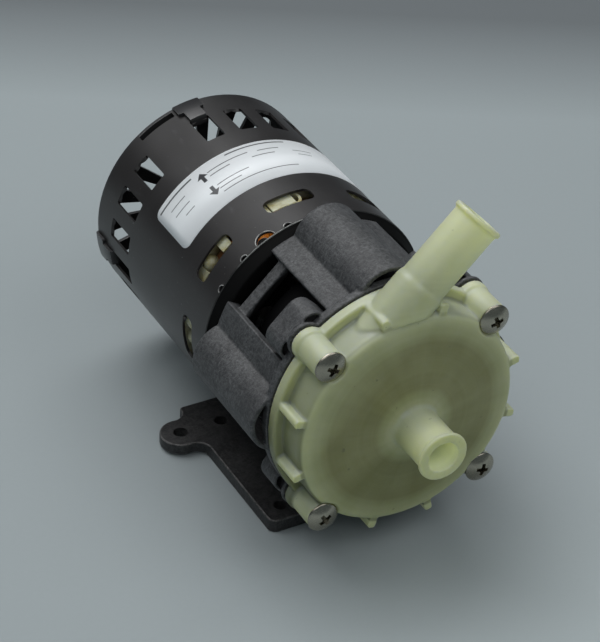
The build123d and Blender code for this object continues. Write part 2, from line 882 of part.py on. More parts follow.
# Motor shell: a rolled tube with windows at the back and slots at the front
with BuildPart() as motor_shell:
    ring(shell_inner_radius, shell_radius, shell_front, shell_rear)
    window_angles = [window_start + window_pitch * step for step in range(window_count)]
    notch_angle = window_angles[closed_window]
    for angle in window_angles:
        if angle != notch_angle:
            with BuildSketch(facing(angle, (window_front + window_rear) / 2, shell_radius)):
                RectangleRounded(window_width, window_rear - window_front, window_corner)
            extrude(amount=2 * shell_wall, both=True, mode=Mode.SUBTRACT)
    with BuildSketch(facing(notch_angle, shell_rear, shell_radius)):
        Rectangle(rear_notch_width, 2 * rear_notch_depth)
    extrude(amount=2 * shell_wall, both=True, mode=Mode.SUBTRACT)
    for step in range(front_slot_count):
        angle = front_slot_start + 360 / front_slot_count * step
        slot_length = front_slot_rear - front_slot_front
        with BuildSketch(facing(angle, (front_slot_front + front_slot_rear) / 2, shell_radius)):
            RectangleRounded(front_slot_width, slot_length, front_slot_corner)
        extrude(amount=shell_cut_reach, both=True, mode=Mode.SUBTRACT)
    with BuildSketch(facing(lead_notch_angle, shell_front, shell_radius)):
        Circle(lead_notch_radius)
    extrude(amount=2 * shell_wall, both=True, mode=Mode.SUBTRACT)
    for angle in crimp_notch_angles:
        with BuildSketch(facing(angle, shell_front, shell_radius)):
            Circle(crimp_notch_radius)
        extrude(amount=2 * shell_wall, both=True, mode=Mode.SUBTRACT)
save(motor_shell, "motor_shell")

# Motor end cap: a pressed disc of radial slots, held on by four folded tabs
with BuildPart() as motor_end_cap:
    ring(0, shell_radius, shell_rear, cap_rear)
    with BuildSketch(across(cap_rear)):
        for step in range(window_count):
            angle = window_start + window_pitch * step
            add(sector(cap_slot_inner_radius, cap_slot_outer_radius, angle, cap_slot_half_angle))
    extrude(amount=cap_thickness, mode=Mode.SUBTRACT)
    ring(bearing_radius, bearing_radius + bearing_cup_wall, rear_bearing_front, shell_rear)
    tab_inner = shell_radius + tab_clearance
    for step in range(tab_count):
        angle = tab_start + 360 / tab_count * step
        with BuildSketch(facing(angle, shell_rear, tab_inner)):
            with Locations((0, (tab_length - cap_thickness) / 2)):
                Rectangle(2 * tab_half_width, tab_length + cap_thickness)
            tongue_end = shell_rear - window_rear + tab_clearance + tab_thickness
            with Locations((0, tongue_end / 2)):
                Rectangle(2 * tongue_half_width, tongue_end)
        extrude(amount=tab_thickness)
        with BuildSketch(facing(angle, shell_rear, tab_inner)):
            with Locations((0, -cap_thickness / 2)):
                Rectangle(2 * tab_half_width, cap_thickness)
        extrude(amount=-tab_root_depth)
        with BuildSketch(facing(angle, shell_rear, tab_inner)):
            with Locations((0, tongue_end - tab_thickness / 2)):
                Rectangle(2 * tongue_half_width, tab_thickness)
        extrude(amount=-tab_hook)
save(motor_end_cap, "motor_end_cap")

# Sleeve bearings with barrel shaped outsides
bearing_fronts = {"front_bearing": front_bearing_front, "rear_bearing": rear_bearing_front}
for bearing_name, bearing_front in bearing_fronts.items():
    with BuildPart() as bearing:
        with BuildSketch(lengthwise()):
            with BuildLine():
                bore = shaft_radius + running_clearance
                bearing_rear = bearing_front + bearing_length
                barrel = (bearing_radius, (bearing_front + bearing_rear) / 2)
                first_end = (bearing_end_radius, bearing_front)
                last_end = (bearing_end_radius, bearing_rear)
                ThreePointArc(first_end, barrel, last_end)
                Polyline(
                    (bearing_end_radius, bearing_rear),
                    (bore, bearing_rear),
                    (bore, bearing_front),
                    (bearing_end_radius, bearing_front),
                )
            make_face()
        revolve(axis=shaft_line)
    save(bearing, bearing_name)

# Stator: slotted core, end turns and the moulded insulators that carry them
with BuildPart() as stator_core:
    ring(stator_bore_radius, shell_inner_radius - fit_clearance, stack_front, stack_rear)
    with BuildSketch(across(stack_rear)):
        for step in range(stator_slot_count):
            angle = front_slot_start + 360 / stator_slot_count * step
            slot_inner = stator_bore_radius - cut_overrun
            add(sector(slot_inner, stator_slot_outer_radius, angle, stator_slot_half_angle))
    extrude(amount=stack_rear - stack_front, mode=Mode.SUBTRACT)
save(stator_core, "stator_core")

coil_angles = [front_slot_start + 360 / coil_count * step for step in range(coil_count)]
insulator_rears = (stack_front, stack_rear + insulator_thickness)

with BuildPart() as stator_windings:
    front_coils = stack_front - insulator_thickness
    rear_coils = stack_rear + insulator_thickness + coil_overhang
    for coil_rear in (front_coils, rear_coils):
        with BuildSketch(across(coil_rear)):
            for angle in coil_angles:
                add(sector(coil_inner_radius, coil_outer_radius, angle, coil_half_angle))
        extrude(amount=coil_overhang)
    outer_faces = stator_windings.faces().filter_by(Axis.Y)
    coil_ends = outer_faces.group_by(Axis.Y)
    fillet([edge for face in coil_ends[0] + coil_ends[-1] for edge in face.edges()], coil_rounding)
save(stator_windings, "stator_windings")

for insulator_name, plate_rear, forward in (
    ("front_insulator", stack_front, 1),
    ("rear_insulator", stack_rear + insulator_thickness, -1),
):
    with BuildPart() as insulator:
        plate_front = plate_rear - insulator_thickness
        ring(insulator_inner_radius, insulator_outer_radius, plate_front, plate_rear)
        wall_start = plate_front if forward > 0 else plate_rear
        wall_inner = insulator_outer_radius - insulator_wall
        with BuildSketch(across(wall_start)):
            for angle in coil_angles:
                tab_angle = angle + insulator_tab_offset
                add(sector(wall_inner, insulator_outer_radius, tab_angle, insulator_tab_half_angle))
                inner_wall = insulator_inner_radius + insulator_wall
                add(sector(insulator_inner_radius, inner_wall, angle, coil_half_angle))
        extrude(amount=forward * insulator_tab_height)
        post_radius = insulator_outer_radius - insulator_post_radius - insulator_post_inset
        with BuildSketch(across(wall_start)):
            with Locations(*spots(post_radius, [angle + 180 / coil_count for angle in coil_angles])):
                Circle(insulator_post_radius)
        extrude(amount=forward * insulator_post_height)
    save(insulator, insulator_name)

# Rotor and shaft
with BuildPart() as motor_shaft:
    ring(0, shaft_radius, cup_back_front, shaft_rear)
    chamfer(motor_shaft.edges().filter_by(GeomType.CIRCLE), shaft_edge_break)
save(motor_shaft, "motor_shaft")

with BuildPart() as rotor_core:
    ring(shaft_bore_radius, rotor_radius, stack_front, stack_rear)
save(rotor_core, "rotor_core")

with BuildPart() as rotor_end_rings:
    ring_radius = rotor_radius - end_ring_margin
    ring(end_ring_hole_radius, ring_radius, stack_front - end_ring_thickness, stack_front)
    ring(end_ring_hole_radius, ring_radius, stack_rear, stack_rear + end_ring_thickness)
save(rotor_end_rings, "rotor_end_rings")

with BuildPart() as cooling_fan:
    ring(0, fan_radius, fan_front, fan_front + fan_disc_thickness)
    with BuildSketch(across(fan_rear)):
        for step in range(fan_blade_count):
            start = 360 / fan_blade_count * step
            blade_tip = fan_radius - fan_blade_thickness / 2
            blade_root = fan_hub_radius - fan_blade_embedding
            add(swept_blade(blade_root, blade_tip, start, fan_blade_sweep, fan_blade_thickness))
    extrude(amount=fan_rear - fan_front)
    ring(0, fan_hub_radius, fan_front, fan_rear)
    ring(0, shaft_bore_radius, fan_front, fan_rear, Mode.SUBTRACT)
save(cooling_fan, "cooling_fan")

# Label: a thin plain sheet wrapped over the top of the shell
with BuildPart() as motor_label:
    label_middle = (label_first_angle + label_last_angle) / 2
    label_half = (label_last_angle - label_first_angle) / 2
    with BuildSketch(across(label_rear)):
        add(sector(shell_radius, shell_radius + label_thickness, label_middle, label_half))
    extrude(amount=label_rear - label_front)
    corner_angle = math.degrees(label_corner_radius / shell_radius)
    for end_angle, round_side in ((label_first_angle, -1), (label_last_angle, 1)):
        for edge_distance, forward in ((label_front, 1), (label_rear, -1)):
            centre_angle = end_angle - round_side * corner_angle
            centre_distance = edge_distance + forward * label_corner_radius
            reach = label_corner_radius + cut_overrun
            with BuildSketch(facing(centre_angle, centre_distance, shell_radius)):
                with Locations((round_side * reach / 2, forward * reach / 2)):
                    Rectangle(reach, reach)
                Circle(label_corner_radius, mode=Mode.SUBTRACT)
            extrude(amount=2 * shell_wall, both=True, mode=Mode.SUBTRACT)
save(motor_label, "motor_label")
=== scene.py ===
import math

import bmesh
import bpy
from mathutils import Matrix, Vector


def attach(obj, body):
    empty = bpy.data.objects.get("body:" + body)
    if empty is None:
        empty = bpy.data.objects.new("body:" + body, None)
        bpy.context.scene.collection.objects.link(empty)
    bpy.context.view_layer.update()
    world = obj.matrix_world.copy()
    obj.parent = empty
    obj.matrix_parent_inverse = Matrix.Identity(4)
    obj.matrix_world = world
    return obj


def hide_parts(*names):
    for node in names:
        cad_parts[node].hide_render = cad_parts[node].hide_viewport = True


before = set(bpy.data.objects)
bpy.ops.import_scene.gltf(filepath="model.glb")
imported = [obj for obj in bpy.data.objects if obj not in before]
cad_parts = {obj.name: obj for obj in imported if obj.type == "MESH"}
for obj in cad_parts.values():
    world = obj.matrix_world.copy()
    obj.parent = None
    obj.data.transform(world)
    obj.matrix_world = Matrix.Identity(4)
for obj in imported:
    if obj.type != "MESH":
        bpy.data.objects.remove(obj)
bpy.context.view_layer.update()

# Measures are in millimetres. Distances run along the shaft line from the cover screws' seats,
# and angles go round it from the right-hand side upwards, seen from the inlet.
MM = 0.001
SEAT_Y = -56.9
SHAFT_Z = 53.7
TO_ROW = Matrix.Scale(MM, 4) @ Matrix.Translation((0, SEAT_Y, SHAFT_Z))
FROM_ROW = TO_ROW.inverted()
QUARTERS = (45, 135, 225, 315)
COLUMNS = (0, 90, 180, 270)

# Cover
COVER_FLANGE = 43.3
FLANGE_FRONT = 12.0
COVER_REAR = 16.0
COVER_WALL = 2.6
DRUM = 39.7
VOLUTE = 35.0
DOME = 4.0
INLET = 7.75
INLET_BORE = 5.4
INLET_REACH = 17.7
HOSE_LIP = 8.84
SCREW_CIRCLE = 42.56
DISCHARGE = 45.0
DISCHARGE_OFFSET = 29.0
DISCHARGE_DEPTH = 7.6
DISCHARGE_END = 65.1
DISCHARGE_TUBE = 7.94
DISCHARGE_BORE = 5.55
DISCHARGE_THROAT = 5.0
SCREW_HOLE = 2.7

# Bracket
BRACKET_FRONT = 16.8
BRACKET_REAR = 60.0
COLUMN_FRONT = 17.6
COLUMN_OUTSIDE = 41.0
COLUMN_HALF_ANGLE = 29.4
COLUMN_CIRCLE = 36.5
HOUSING_RECESS = 39.5
PAD_FRONT = 56.5
NUT_CIRCLE = 34.0

# Motor shell, with the middle and the half width of each notch in its front edge
SHELL = 42.0
SHELL_WALL = 0.9
SHELL_FRONT = 64.3
SHELL_REAR = 147.9
SEAM = -106.1
WINDOWS = [10.9 + 18 * step for step in range(20)]
CLOSED_WINDOW = WINDOWS[6]
NOTCHES = [(118.0, 3.6), (106.0, 1.3), (131.0, 1.3), (148.5, 1.3)]

# Inside of the motor
SHAFT_HOLE = 3.99
FRONT_FORMER = (82.4, 84.0)
REAR_FORMER = (112.0, 113.6)
FORMER_INSIDE = 26.2
COIL_REACH = 8.5
COILS = [6.6 + 45 * step for step in range(8)]
CAPPED_COIL = COILS[2]


# Shapes

def spot(radius, angle, distance=0.0):
    """Point at a radius and angle about the shaft line."""
    turn = math.radians(angle)
    return Vector((radius * math.cos(turn), distance, radius * math.sin(turn)))


def flat_spot(radius, angle):
    turn = math.radians(angle)
    return (radius * math.cos(turn), radius * math.sin(turn))


def eased(points, steps=4):
    """Closed outline whose corners are rounded by each point's third value."""
    outline = []
    for number, (x, y, *ease) in enumerate(points):
        corner = Vector((x, y))
        if not ease or ease[0] <= 0:
            outline.append((x, y))
            continue
        before = (Vector(points[number - 1][:2]) - corner).normalized()
        after = (Vector(points[(number + 1) % len(points)][:2]) - corner).normalized()
        half = before.angle(after) / 2
        middle = (before + after).normalized()
        centre = corner + middle * ease[0] / math.sin(half)
        reach = ease[0] / math.tan(half)
        first = corner + before * reach - centre
        last = corner + after * reach - centre
        sweep = first.angle_signed(last)
        for step in range(steps + 1):
            part = first.copy()
            part.rotate(Matrix.Rotation(-sweep * step / steps, 2))
            outline.append(tuple(centre + part))
    return outline


def bridge(bm, first, second):
    """Band of faces between two closed rings. A ring may be one point many times over."""
    for number in range(len(first)):
        after = (number + 1) % len(first)
        corners = dict.fromkeys([first[number], first[after], second[after], second[number]])
        if len(corners) > 2:
            bm.faces.new(list(corners))


def turned(bm, outline, steps=128, centre=(0, 0)):
    """Closed outline of (radius, distance) points, turned about a line along the pump."""
    rings = []
    for radius, distance in outline:
        if radius < 1e-6:
            rings.append([bm.verts.new((centre[0], distance, centre[1]))] * steps)
            continue
        around = [flat_spot(radius, 360 * step / steps) for step in range(steps)]
        rings.append([bm.verts.new((centre[0] + x, distance, centre[1] + z)) for x, z in around])
    for first, second in zip(rings, rings[1:] + rings[:1]):
        bridge(bm, first, second)


def plug(bm, radius, front, rear, steps, centre=(0, 0)):
    """Plain round bar along the pump."""
    turned(bm, [(0, front), (radius, front), (radius, rear), (0, rear)], steps, centre)


def loft(bm, near, far):
    """Solid between two rings of points."""
    near = [bm.verts.new(point) for point in near]
    far = [bm.verts.new(point) for point in far]
    bm.faces.new(near)
    bm.faces.new(far[::-1])
    bridge(bm, far, near)


def prism(bm, outline, front, rear):
    """Closed outline of (x, z) points, carried straight along the pump."""
    loft(bm, [(x, front, z) for x, z in outline], [(x, rear, z) for x, z in outline])


def rod(bm, sections, start, direction, steps):
    """Round bar through (radius, length along it) sections, from a point in a direction."""
    ahead = Vector(direction).normalized()
    side = ahead.orthogonal().normalized()
    up = ahead.cross(side)
    turns = [2 * math.pi * step / steps for step in range(steps)]
    around = [side * math.cos(turn) + up * math.sin(turn) for turn in turns]
    rings = []
    for radius, length in sections:
        middle = Vector(start) + ahead * length
        rings.append([bm.verts.new(middle + way * radius) for way in around])
    bm.faces.new(rings[0])
    bm.faces.new(rings[-1][::-1])
    for first, second in zip(rings, rings[1:]):
        bridge(bm, first, second)


def block(bm, low, high):
    """Box between two corners."""
    corners = [(low[0], low[2]), (high[0], low[2]), (high[0], high[2]), (low[0], high[2])]
    prism(bm, corners, low[1], high[1])


def arc(radius, first, last, steps=12):
    return [flat_spot(radius, first + (last - first) * step / steps) for step in range(steps + 1)]


def bow(x, y, radius, first, last, steps=12):
    """Arc about a point, from one angle to another."""
    return [(x + u, y + v) for u, v in arc(radius, first, last, steps)]


def oblong(half_x, half_y, ease, x, y, steps=5):
    """Outline of a rectangle with rounded corners, about a point."""
    ends = [(-half_x, -half_y), (half_x, -half_y), (half_x, half_y), (-half_x, half_y)]
    return [(x + u, y + v) for u, v in eased([(*end, ease) for end in ends], steps)]


def sector(inner, outer, middle, half, steps=12):
    """Outline of a ring segment about an angle."""
    edge = arc(outer, middle - half, middle + half, steps)
    if inner <= 0:
        return edge + [(0, 0)]
    return edge + arc(inner, middle + half, middle - half, steps)


def tilted(outline, angle):
    """Outline turned round the shaft line."""
    turn = math.radians(angle)
    return [
        (x * math.cos(turn) - z * math.sin(turn), x * math.sin(turn) + z * math.cos(turn))
        for x, z in outline
    ]


def flat_sheet(outline, holes):
    """Flat face with holes, in the first two axes."""
    curve = bpy.data.curves.new("outline", "CURVE")
    curve.dimensions = "2D"
    curve.fill_mode = "BOTH"
    for points in [outline] + holes:
        spline = curve.splines.new("POLY")
        spline.points.add(len(points) - 1)
        for point, place in zip(spline.points, points):
            point.co = (place[0], place[1], 0, 1)
        spline.use_cyclic_u = True
    holder = bpy.data.objects.new("outline", curve)
    mesh = bpy.data.meshes.new_from_object(holder)
    bm = bmesh.new()
    bm.from_mesh(mesh)
    bpy.data.objects.remove(holder)
    bpy.data.curves.remove(curve)
    bpy.data.meshes.remove(mesh)
    bmesh.ops.remove_doubles(bm, verts=bm.verts, dist=1e-5)
    bmesh.ops.dissolve_limit(bm, angle_limit=0.01, verts=bm.verts, edges=bm.edges)
    return bm


def creased(bm, axis, places):
    """Cuts a flat sheet across at each place along an axis, so that it can bend there."""
    normal = Vector((1, 0, 0)) if axis == 0 else Vector((0, 1, 0))
    for place in places:
        everything = bm.verts[:] + bm.edges[:] + bm.faces[:]
        bmesh.ops.bisect_plane(bm, geom=everything, plane_co=normal * place, plane_no=normal, dist=1e-4)


def wrapped(bm, radius):
    """Bends a flat sheet round the shaft line: first axis round it, second axis along it."""
    for vert in bm.verts:
        vert.co = spot(radius, math.degrees(vert.co.x / radius), vert.co.y)
    bmesh.ops.remove_doubles(bm, verts=bm.verts, dist=1e-3)


def thickened(bm, thickness):
    """Gives a sheet its thickness, away from the shaft line."""
    bmesh.ops.recalc_face_normals(bm, faces=bm.faces)
    bm.normal_update()
    face = max(bm.faces, key=lambda one: one.calc_area())
    middle = face.calc_center_median()
    if face.normal.dot(Vector((middle.x, 0, middle.z))) <= 0:
        bmesh.ops.reverse_faces(bm, faces=bm.faces)
    bmesh.ops.solidify(bm, geom=bm.faces[:] + bm.edges[:] + bm.verts[:], thickness=thickness)


def bent(outline, radius, thickness, angle=0.0, lift=0.0, holes=(), creases=()):
    """Sheet bent round the shaft line, from a flat outline of lengths round it and distances."""
    sheet = flat_sheet(outline, list(holes))
    creased(sheet, 0, creases)
    for vert in sheet.verts:
        vert.co.x += math.radians(angle) * radius
    wrapped(sheet, radius)
    for vert in sheet.verts:
        vert.co += Vector((vert.co.x, 0, vert.co.z)).normalized() * lift
    thickened(sheet, thickness)
    return sheet


def deepened(bm, depth):
    """Turns a flat sheet into a plate of a depth along the third axis."""
    made = bmesh.ops.extrude_face_region(bm, geom=bm.faces[:])
    moved = [item for item in made["geom"] if isinstance(item, bmesh.types.BMVert)]
    bmesh.ops.translate(bm, verts=moved, vec=(0, 0, depth))
    bmesh.ops.recalc_face_normals(bm, faces=bm.faces)


SCREW_SPOTS = [flat_spot(SCREW_CIRCLE, angle) for angle in QUARTERS]
discharge_ahead = spot(1, DISCHARGE)
discharge_foot = spot(DISCHARGE_OFFSET, DISCHARGE + 90, DISCHARGE_DEPTH)


# Pieces

def piece_of(name, bm, finish=None, stands_for=(), body="pump_frame"):
    """Object from mesh code, in the row's frame, riding on a body."""
    bmesh.ops.recalc_face_normals(bm, faces=bm.faces)
    mesh = bpy.data.meshes.new(name)
    bm.to_mesh(mesh)
    bm.free()
    mesh.transform(TO_ROW)
    mesh.shade_smooth()
    piece = bpy.data.objects.new(name, mesh)
    bpy.context.scene.collection.objects.link(piece)
    if finish:
        placed(piece, finish, stands_for, body)
    return piece


def placed(piece, finish, stands_for, body="pump_frame"):
    """Gives a piece its finish, puts it on its body and hides the CAD nodes it stands for."""
    piece.data.materials.clear()
    piece.data.materials.append(finish)
    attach(piece, body)
    if stands_for:
        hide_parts(*stands_for)


def softened(piece, width, segments=2, angle=40, worn=None):
    """Rounds a piece's corners. A worn finish shows on the rounded strips themselves."""
    bevel = piece.modifiers.new("soft_edges", "BEVEL")
    if worn:
        piece.data.materials.append(worn)
        bevel.material = len(piece.data.materials) - 1
    bevel.width = width * MM
    bevel.segments = segments
    bevel.limit_method = "ANGLE"
    bevel.angle_limit = math.radians(angle)
    bevel.harden_normals = True


def settled(piece):
    """Makes a piece's modifiers part of its mesh."""
    bpy.context.view_layer.update()
    whole = piece.evaluated_get(bpy.context.evaluated_depsgraph_get())
    mesh = bpy.data.meshes.new_from_object(whole)
    old = piece.data
    piece.modifiers.clear()
    piece.data = mesh
    bpy.data.meshes.remove(old)


def cut_away(piece, bm):
    """Takes the shapes in bm out of a piece."""
    tool = piece_of("cutter", bm)
    boolean = piece.modifiers.new("cut", "BOOLEAN")
    boolean.operation = "DIFFERENCE"
    boolean.solver = "EXACT"
    boolean.use_self = True
    boolean.object = tool
    settled(piece)
    bpy.data.objects.remove(tool)


def joined_up(piece, bm):
    """Adds the shapes in bm to a piece."""
    extra = piece_of("extra", bm)
    whole = bmesh.new()
    whole.from_mesh(piece.data)
    whole.from_mesh(extra.data)
    whole.to_mesh(piece.data)
    whole.free()
    bpy.data.objects.remove(extra)


def mended(piece):
    """Closes the hairline gaps that cutting leaves in a piece's mesh."""
    whole = bmesh.new()
    whole.from_mesh(piece.data)
    bmesh.ops.remove_doubles(whole, verts=whole.verts, dist=0.002 * MM)
    bmesh.ops.holes_fill(whole, edges=whole.edges)
    whole.to_mesh(piece.data)
    whole.free()


def moulded(piece, grain, rounds, share):
    """Runs a piece's shapes into one skin with softly rounded corners, as moulding does."""
    mended(piece)
    remesh = piece.modifiers.new("skin", "REMESH")
    remesh.mode = "VOXEL"
    remesh.voxel_size = grain * MM * 1
    remesh.use_smooth_shade = True
    smooth = piece.modifiers.new("rounding", "SMOOTH")
    smooth.factor = 0.5
    smooth.iterations = rounds
    thin = piece.modifiers.new("thinning", "DECIMATE")
    thin.ratio = share
    settled(piece)
    piece.data.shade_smooth()


# Finishes

def add(tree, kind, values=None, **settings):
    """Node with its settings, and its inputs given as values or as other nodes' outputs."""
    node = tree.nodes.new(kind)
    for name, value in settings.items():
        setattr(node, name, value)
    for name, value in (values or {}).items():
        socket = node.inputs[name]
        if isinstance(value, bpy.types.NodeSocket):
            tree.links.new(value, socket)
        else:
            socket.default_value = value
    return node


def use(tree, group, values=None):
    return add(tree, "ShaderNodeGroup", values, node_tree=group).outputs


def here(tree):
    """Place on the object, in its own coordinates."""
    return add(tree, "ShaderNodeTexCoord").outputs["Object"]


def looks_up(tree):
    """How far a surface faces upwards."""
    normal = add(tree, "ShaderNodeNewGeometry").outputs["Normal"]
    return add(tree, "ShaderNodeSeparateXYZ", {0: normal}).outputs["Z"]


def calc(tree, operation, first, second=0.5, third=None):
    values = {0: first, 1: second}
    if third is not None:
        values[2] = third
    return add(tree, "ShaderNodeMath", values, operation=operation).outputs[0]


def times(tree, first, *others):
    """Product of values."""
    for other in others:
        first = calc(tree, "MULTIPLY", first, other)
    return first


def off(tree, value, middle):
    """Distance of a value from a middle, whichever side it is on."""
    return calc(tree, "ABSOLUTE", calc(tree, "SUBTRACT", value, middle))


def vector(tree, operation, first, second=None):
    """Result of vector maths: a value for a dot product or a length, else a vector."""
    values = {0: first} if second is None else {0: first, 1: second}
    node = add(tree, "ShaderNodeVectorMath", values, operation=operation)
    return node.outputs["Value" if operation in ("DOT_PRODUCT", "LENGTH") else "Vector"]


def span(tree, value, low, high, to_low=0.0, to_high=1.0):
    """Value spread from one range to another and held at its ends."""
    values = {"Value": value, "From Min": low, "From Max": high, "To Min": to_low, "To Max": to_high}
    return add(tree, "ShaderNodeMapRange", values).outputs["Result"]


def blend(tree, share, first, second):
    values = {0: share, 6: first, 7: second}
    return add(tree, "ShaderNodeMix", values, data_type="RGBA").outputs[2]


def cloud(tree, scale, detail=3.0, place=None, stretch=None, roughness=0.5):
    """Noise over the object's own coordinates, as a value about one half."""
    if place is None:
        place = here(tree)
    if stretch is not None:
        place = add(tree, "ShaderNodeMapping", {"Vector": place, "Scale": stretch}).outputs[0]
    values = {"Vector": place, "Scale": scale, "Detail": detail, "Roughness": roughness}
    return add(tree, "ShaderNodeTexNoise", values).outputs["Fac"]


def patch(tree, scale, detail, *limits):
    """Noise spread between limits, for patches, rubs and specks."""
    return span(tree, cloud(tree, scale, detail), *limits)


def effect(name, inputs, outputs):
    """Empty shader group with named inputs and outputs."""
    tree = bpy.data.node_groups.new(name, "ShaderNodeTree")
    for label, kind, value in inputs:
        socket = tree.interface.new_socket(name=label, in_out="INPUT", socket_type=kind)
        socket.default_value = value
    for label, kind in outputs:
        tree.interface.new_socket(name=label, in_out="OUTPUT", socket_type=kind)
    start = tree.nodes.new("NodeGroupInput")
    end = tree.nodes.new("NodeGroupOutput")
    return tree, start.outputs, end.inputs


FLOAT = "NodeSocketFloat"
COLOUR = "NodeSocketColor"


def make_fibre_mottle():
    """Glass filled nylon: fine pale fibres lying every way, thicker in some places."""
    inputs = [("Base", COLOUR, (0.03, 0.03, 0.03, 1)), ("Fibre", COLOUR, (0.2, 0.2, 0.2, 1))]
    inputs += [("Amount", FLOAT, 0.5), ("Scale", FLOAT, 900.0)]
    tree, given, out = effect("fibre_mottle", inputs, [("Color", COLOUR), ("Height", FLOAT)])
    place = here(tree)
    strands = None
    for stretch in ((1.0, 0.4, 1.0), (0.4, 1.0, 1.0), (1.0, 1.0, 0.4)):
        one = span(tree, cloud(tree, given["Scale"], 3.0, place, stretch, 0.7), 0.46, 0.70)
        strands = one if strands is None else calc(tree, "MAXIMUM", strands, one)
    flow = patch(tree, 70.0, 4.0, 0.3, 0.7, 0.55, 1.0)
    mask = times(tree, strands, flow, given["Amount"])
    tree.links.new(blend(tree, mask, given["Base"], given["Fibre"]), out["Color"])
    tree.links.new(strands, out["Height"])
    return tree


def make_settled_dust():
    """Fine dust that lies where a surface looks up, more of it in some places."""
    inputs = [("Color", COLOUR, (0.1, 0.1, 0.1, 1)), ("Dust", COLOUR, (0.4, 0.4, 0.38, 1))]
    inputs += [("Amount", FLOAT, 0.2)]
    tree, given, out = effect("settled_dust", inputs, [("Color", COLOUR), ("Mask", FLOAT)])
    level = span(tree, looks_up(tree), 0.1, 1.0)
    mask = times(tree, level, patch(tree, 90.0, 5.0, 0.35, 0.75), given["Amount"])
    tree.links.new(blend(tree, mask, given["Color"], given["Dust"]), out["Color"])
    tree.links.new(mask, out["Mask"])
    return tree


def make_surface_grain():
    """Small unevenness of a moulded or painted skin, for bump and for gloss."""
    inputs = [("Scale", FLOAT, 900.0), ("Gloss", FLOAT, 0.4), ("Spread", FLOAT, 0.08)]
    tree, given, out = effect("surface_grain", inputs, [("Height", FLOAT), ("Roughness", FLOAT)])
    fine = cloud(tree, given["Scale"], 4.0)
    shift = times(tree, calc(tree, "SUBTRACT", cloud(tree, 40.0, 3.0), 0.5), given["Spread"])
    tree.links.new(fine, out["Height"])
    tree.links.new(calc(tree, "ADD", given["Gloss"], shift), out["Roughness"])
    return tree


def make_shaft_place():
    """Radius and height from the shaft line, distance behind the seats (mm), angle (degrees)."""
    outputs = [(label, FLOAT) for label in ("Radius", "Distance", "Angle", "Height")]
    tree, _, out = effect("shaft_place", [], outputs)
    x, y, z = add(tree, "ShaderNodeSeparateXYZ", {0: here(tree)}).outputs
    across = times(tree, x, 1000.0)
    rise = calc(tree, "MULTIPLY_ADD", z, 1000.0, -SHAFT_Z)
    square = calc(tree, "ADD", times(tree, across, across), times(tree, rise, rise))
    tree.links.new(calc(tree, "SQRT", square), out["Radius"])
    tree.links.new(calc(tree, "MULTIPLY_ADD", y, 1000.0, -SEAT_Y), out["Distance"])
    tree.links.new(calc(tree, "DEGREES", calc(tree, "ARCTAN2", rise, across)), out["Angle"])
    tree.links.new(rise, out["Height"])
    return tree


def make_tube_place():
    """Radius from the discharge tube's own line and distance along it, in mm."""
    tree, _, out = effect("tube_place", [], [("Radius", FLOAT), ("Along", FLOAT)])
    away = vector(tree, "SUBTRACT", here(tree), TO_ROW @ discharge_foot)
    reach = vector(tree, "LENGTH", vector(tree, "CROSS_PRODUCT", away, discharge_ahead))
    tree.links.new(times(tree, reach, 1000.0), out["Radius"])
    along = vector(tree, "DOT_PRODUCT", away, discharge_ahead)
    tree.links.new(times(tree, along, 1000.0), out["Along"])
    return tree


def make_worn_edges():
    """Mask of a piece's outer corners, where handling takes the finish off."""
    inputs = [("Threshold", FLOAT, 0.53), ("Amount", FLOAT, 1.0)]
    tree, given, out = effect("worn_edges", inputs, [("Mask", FLOAT)])
    corner = add(tree, "ShaderNodeNewGeometry").outputs["Pointiness"]
    edge = span(tree, corner, given["Threshold"], 0.62)
    broken = patch(tree, 350.0, 4.0, 0.35, 0.6)
    tree.links.new(times(tree, edge, broken, given["Amount"]), out["Mask"])
    return tree


fibre_mottle = make_fibre_mottle()
settled_dust = make_settled_dust()
surface_grain = make_surface_grain()
shaft_place = make_shaft_place()
tube_place = make_tube_place()
worn_edges = make_worn_edges()


def surface(name, build, **constants):
    """Material with one Principled shader. build returns what feeds its inputs from nodes."""
    material = bpy.data.materials.new(name)
    material.use_nodes = True
    tree = material.node_tree
    tree.nodes.clear()
    shader = add(tree, "ShaderNodeBsdfPrincipled", constants)
    for socket, output in build(tree).items():
        if socket == "bump":
            values = dict(zip(("Height", "Strength", "Distance"), output))
            output = add(tree, "ShaderNodeBump", values).outputs["Normal"]
            socket = "Normal"
        tree.links.new(output, shader.inputs[socket])
    ending = add(tree, "ShaderNodeOutputMaterial")
    tree.links.new(shader.outputs[0], ending.inputs["Surface"])
    return material


def grained(tree, colour, scale, gloss, spread, bump, fine):
    """Colour with the gloss and bump of a grained skin."""
    grain = use(tree, surface_grain, {"Scale": scale, "Gloss": gloss, "Spread": spread})
    return {"Base Color": colour, "Roughness": grain["Roughness"], "bump": (grain["Height"], bump, fine)}


def shaded(colour, share):
    return [part * share for part in colour[:3]] + [1]


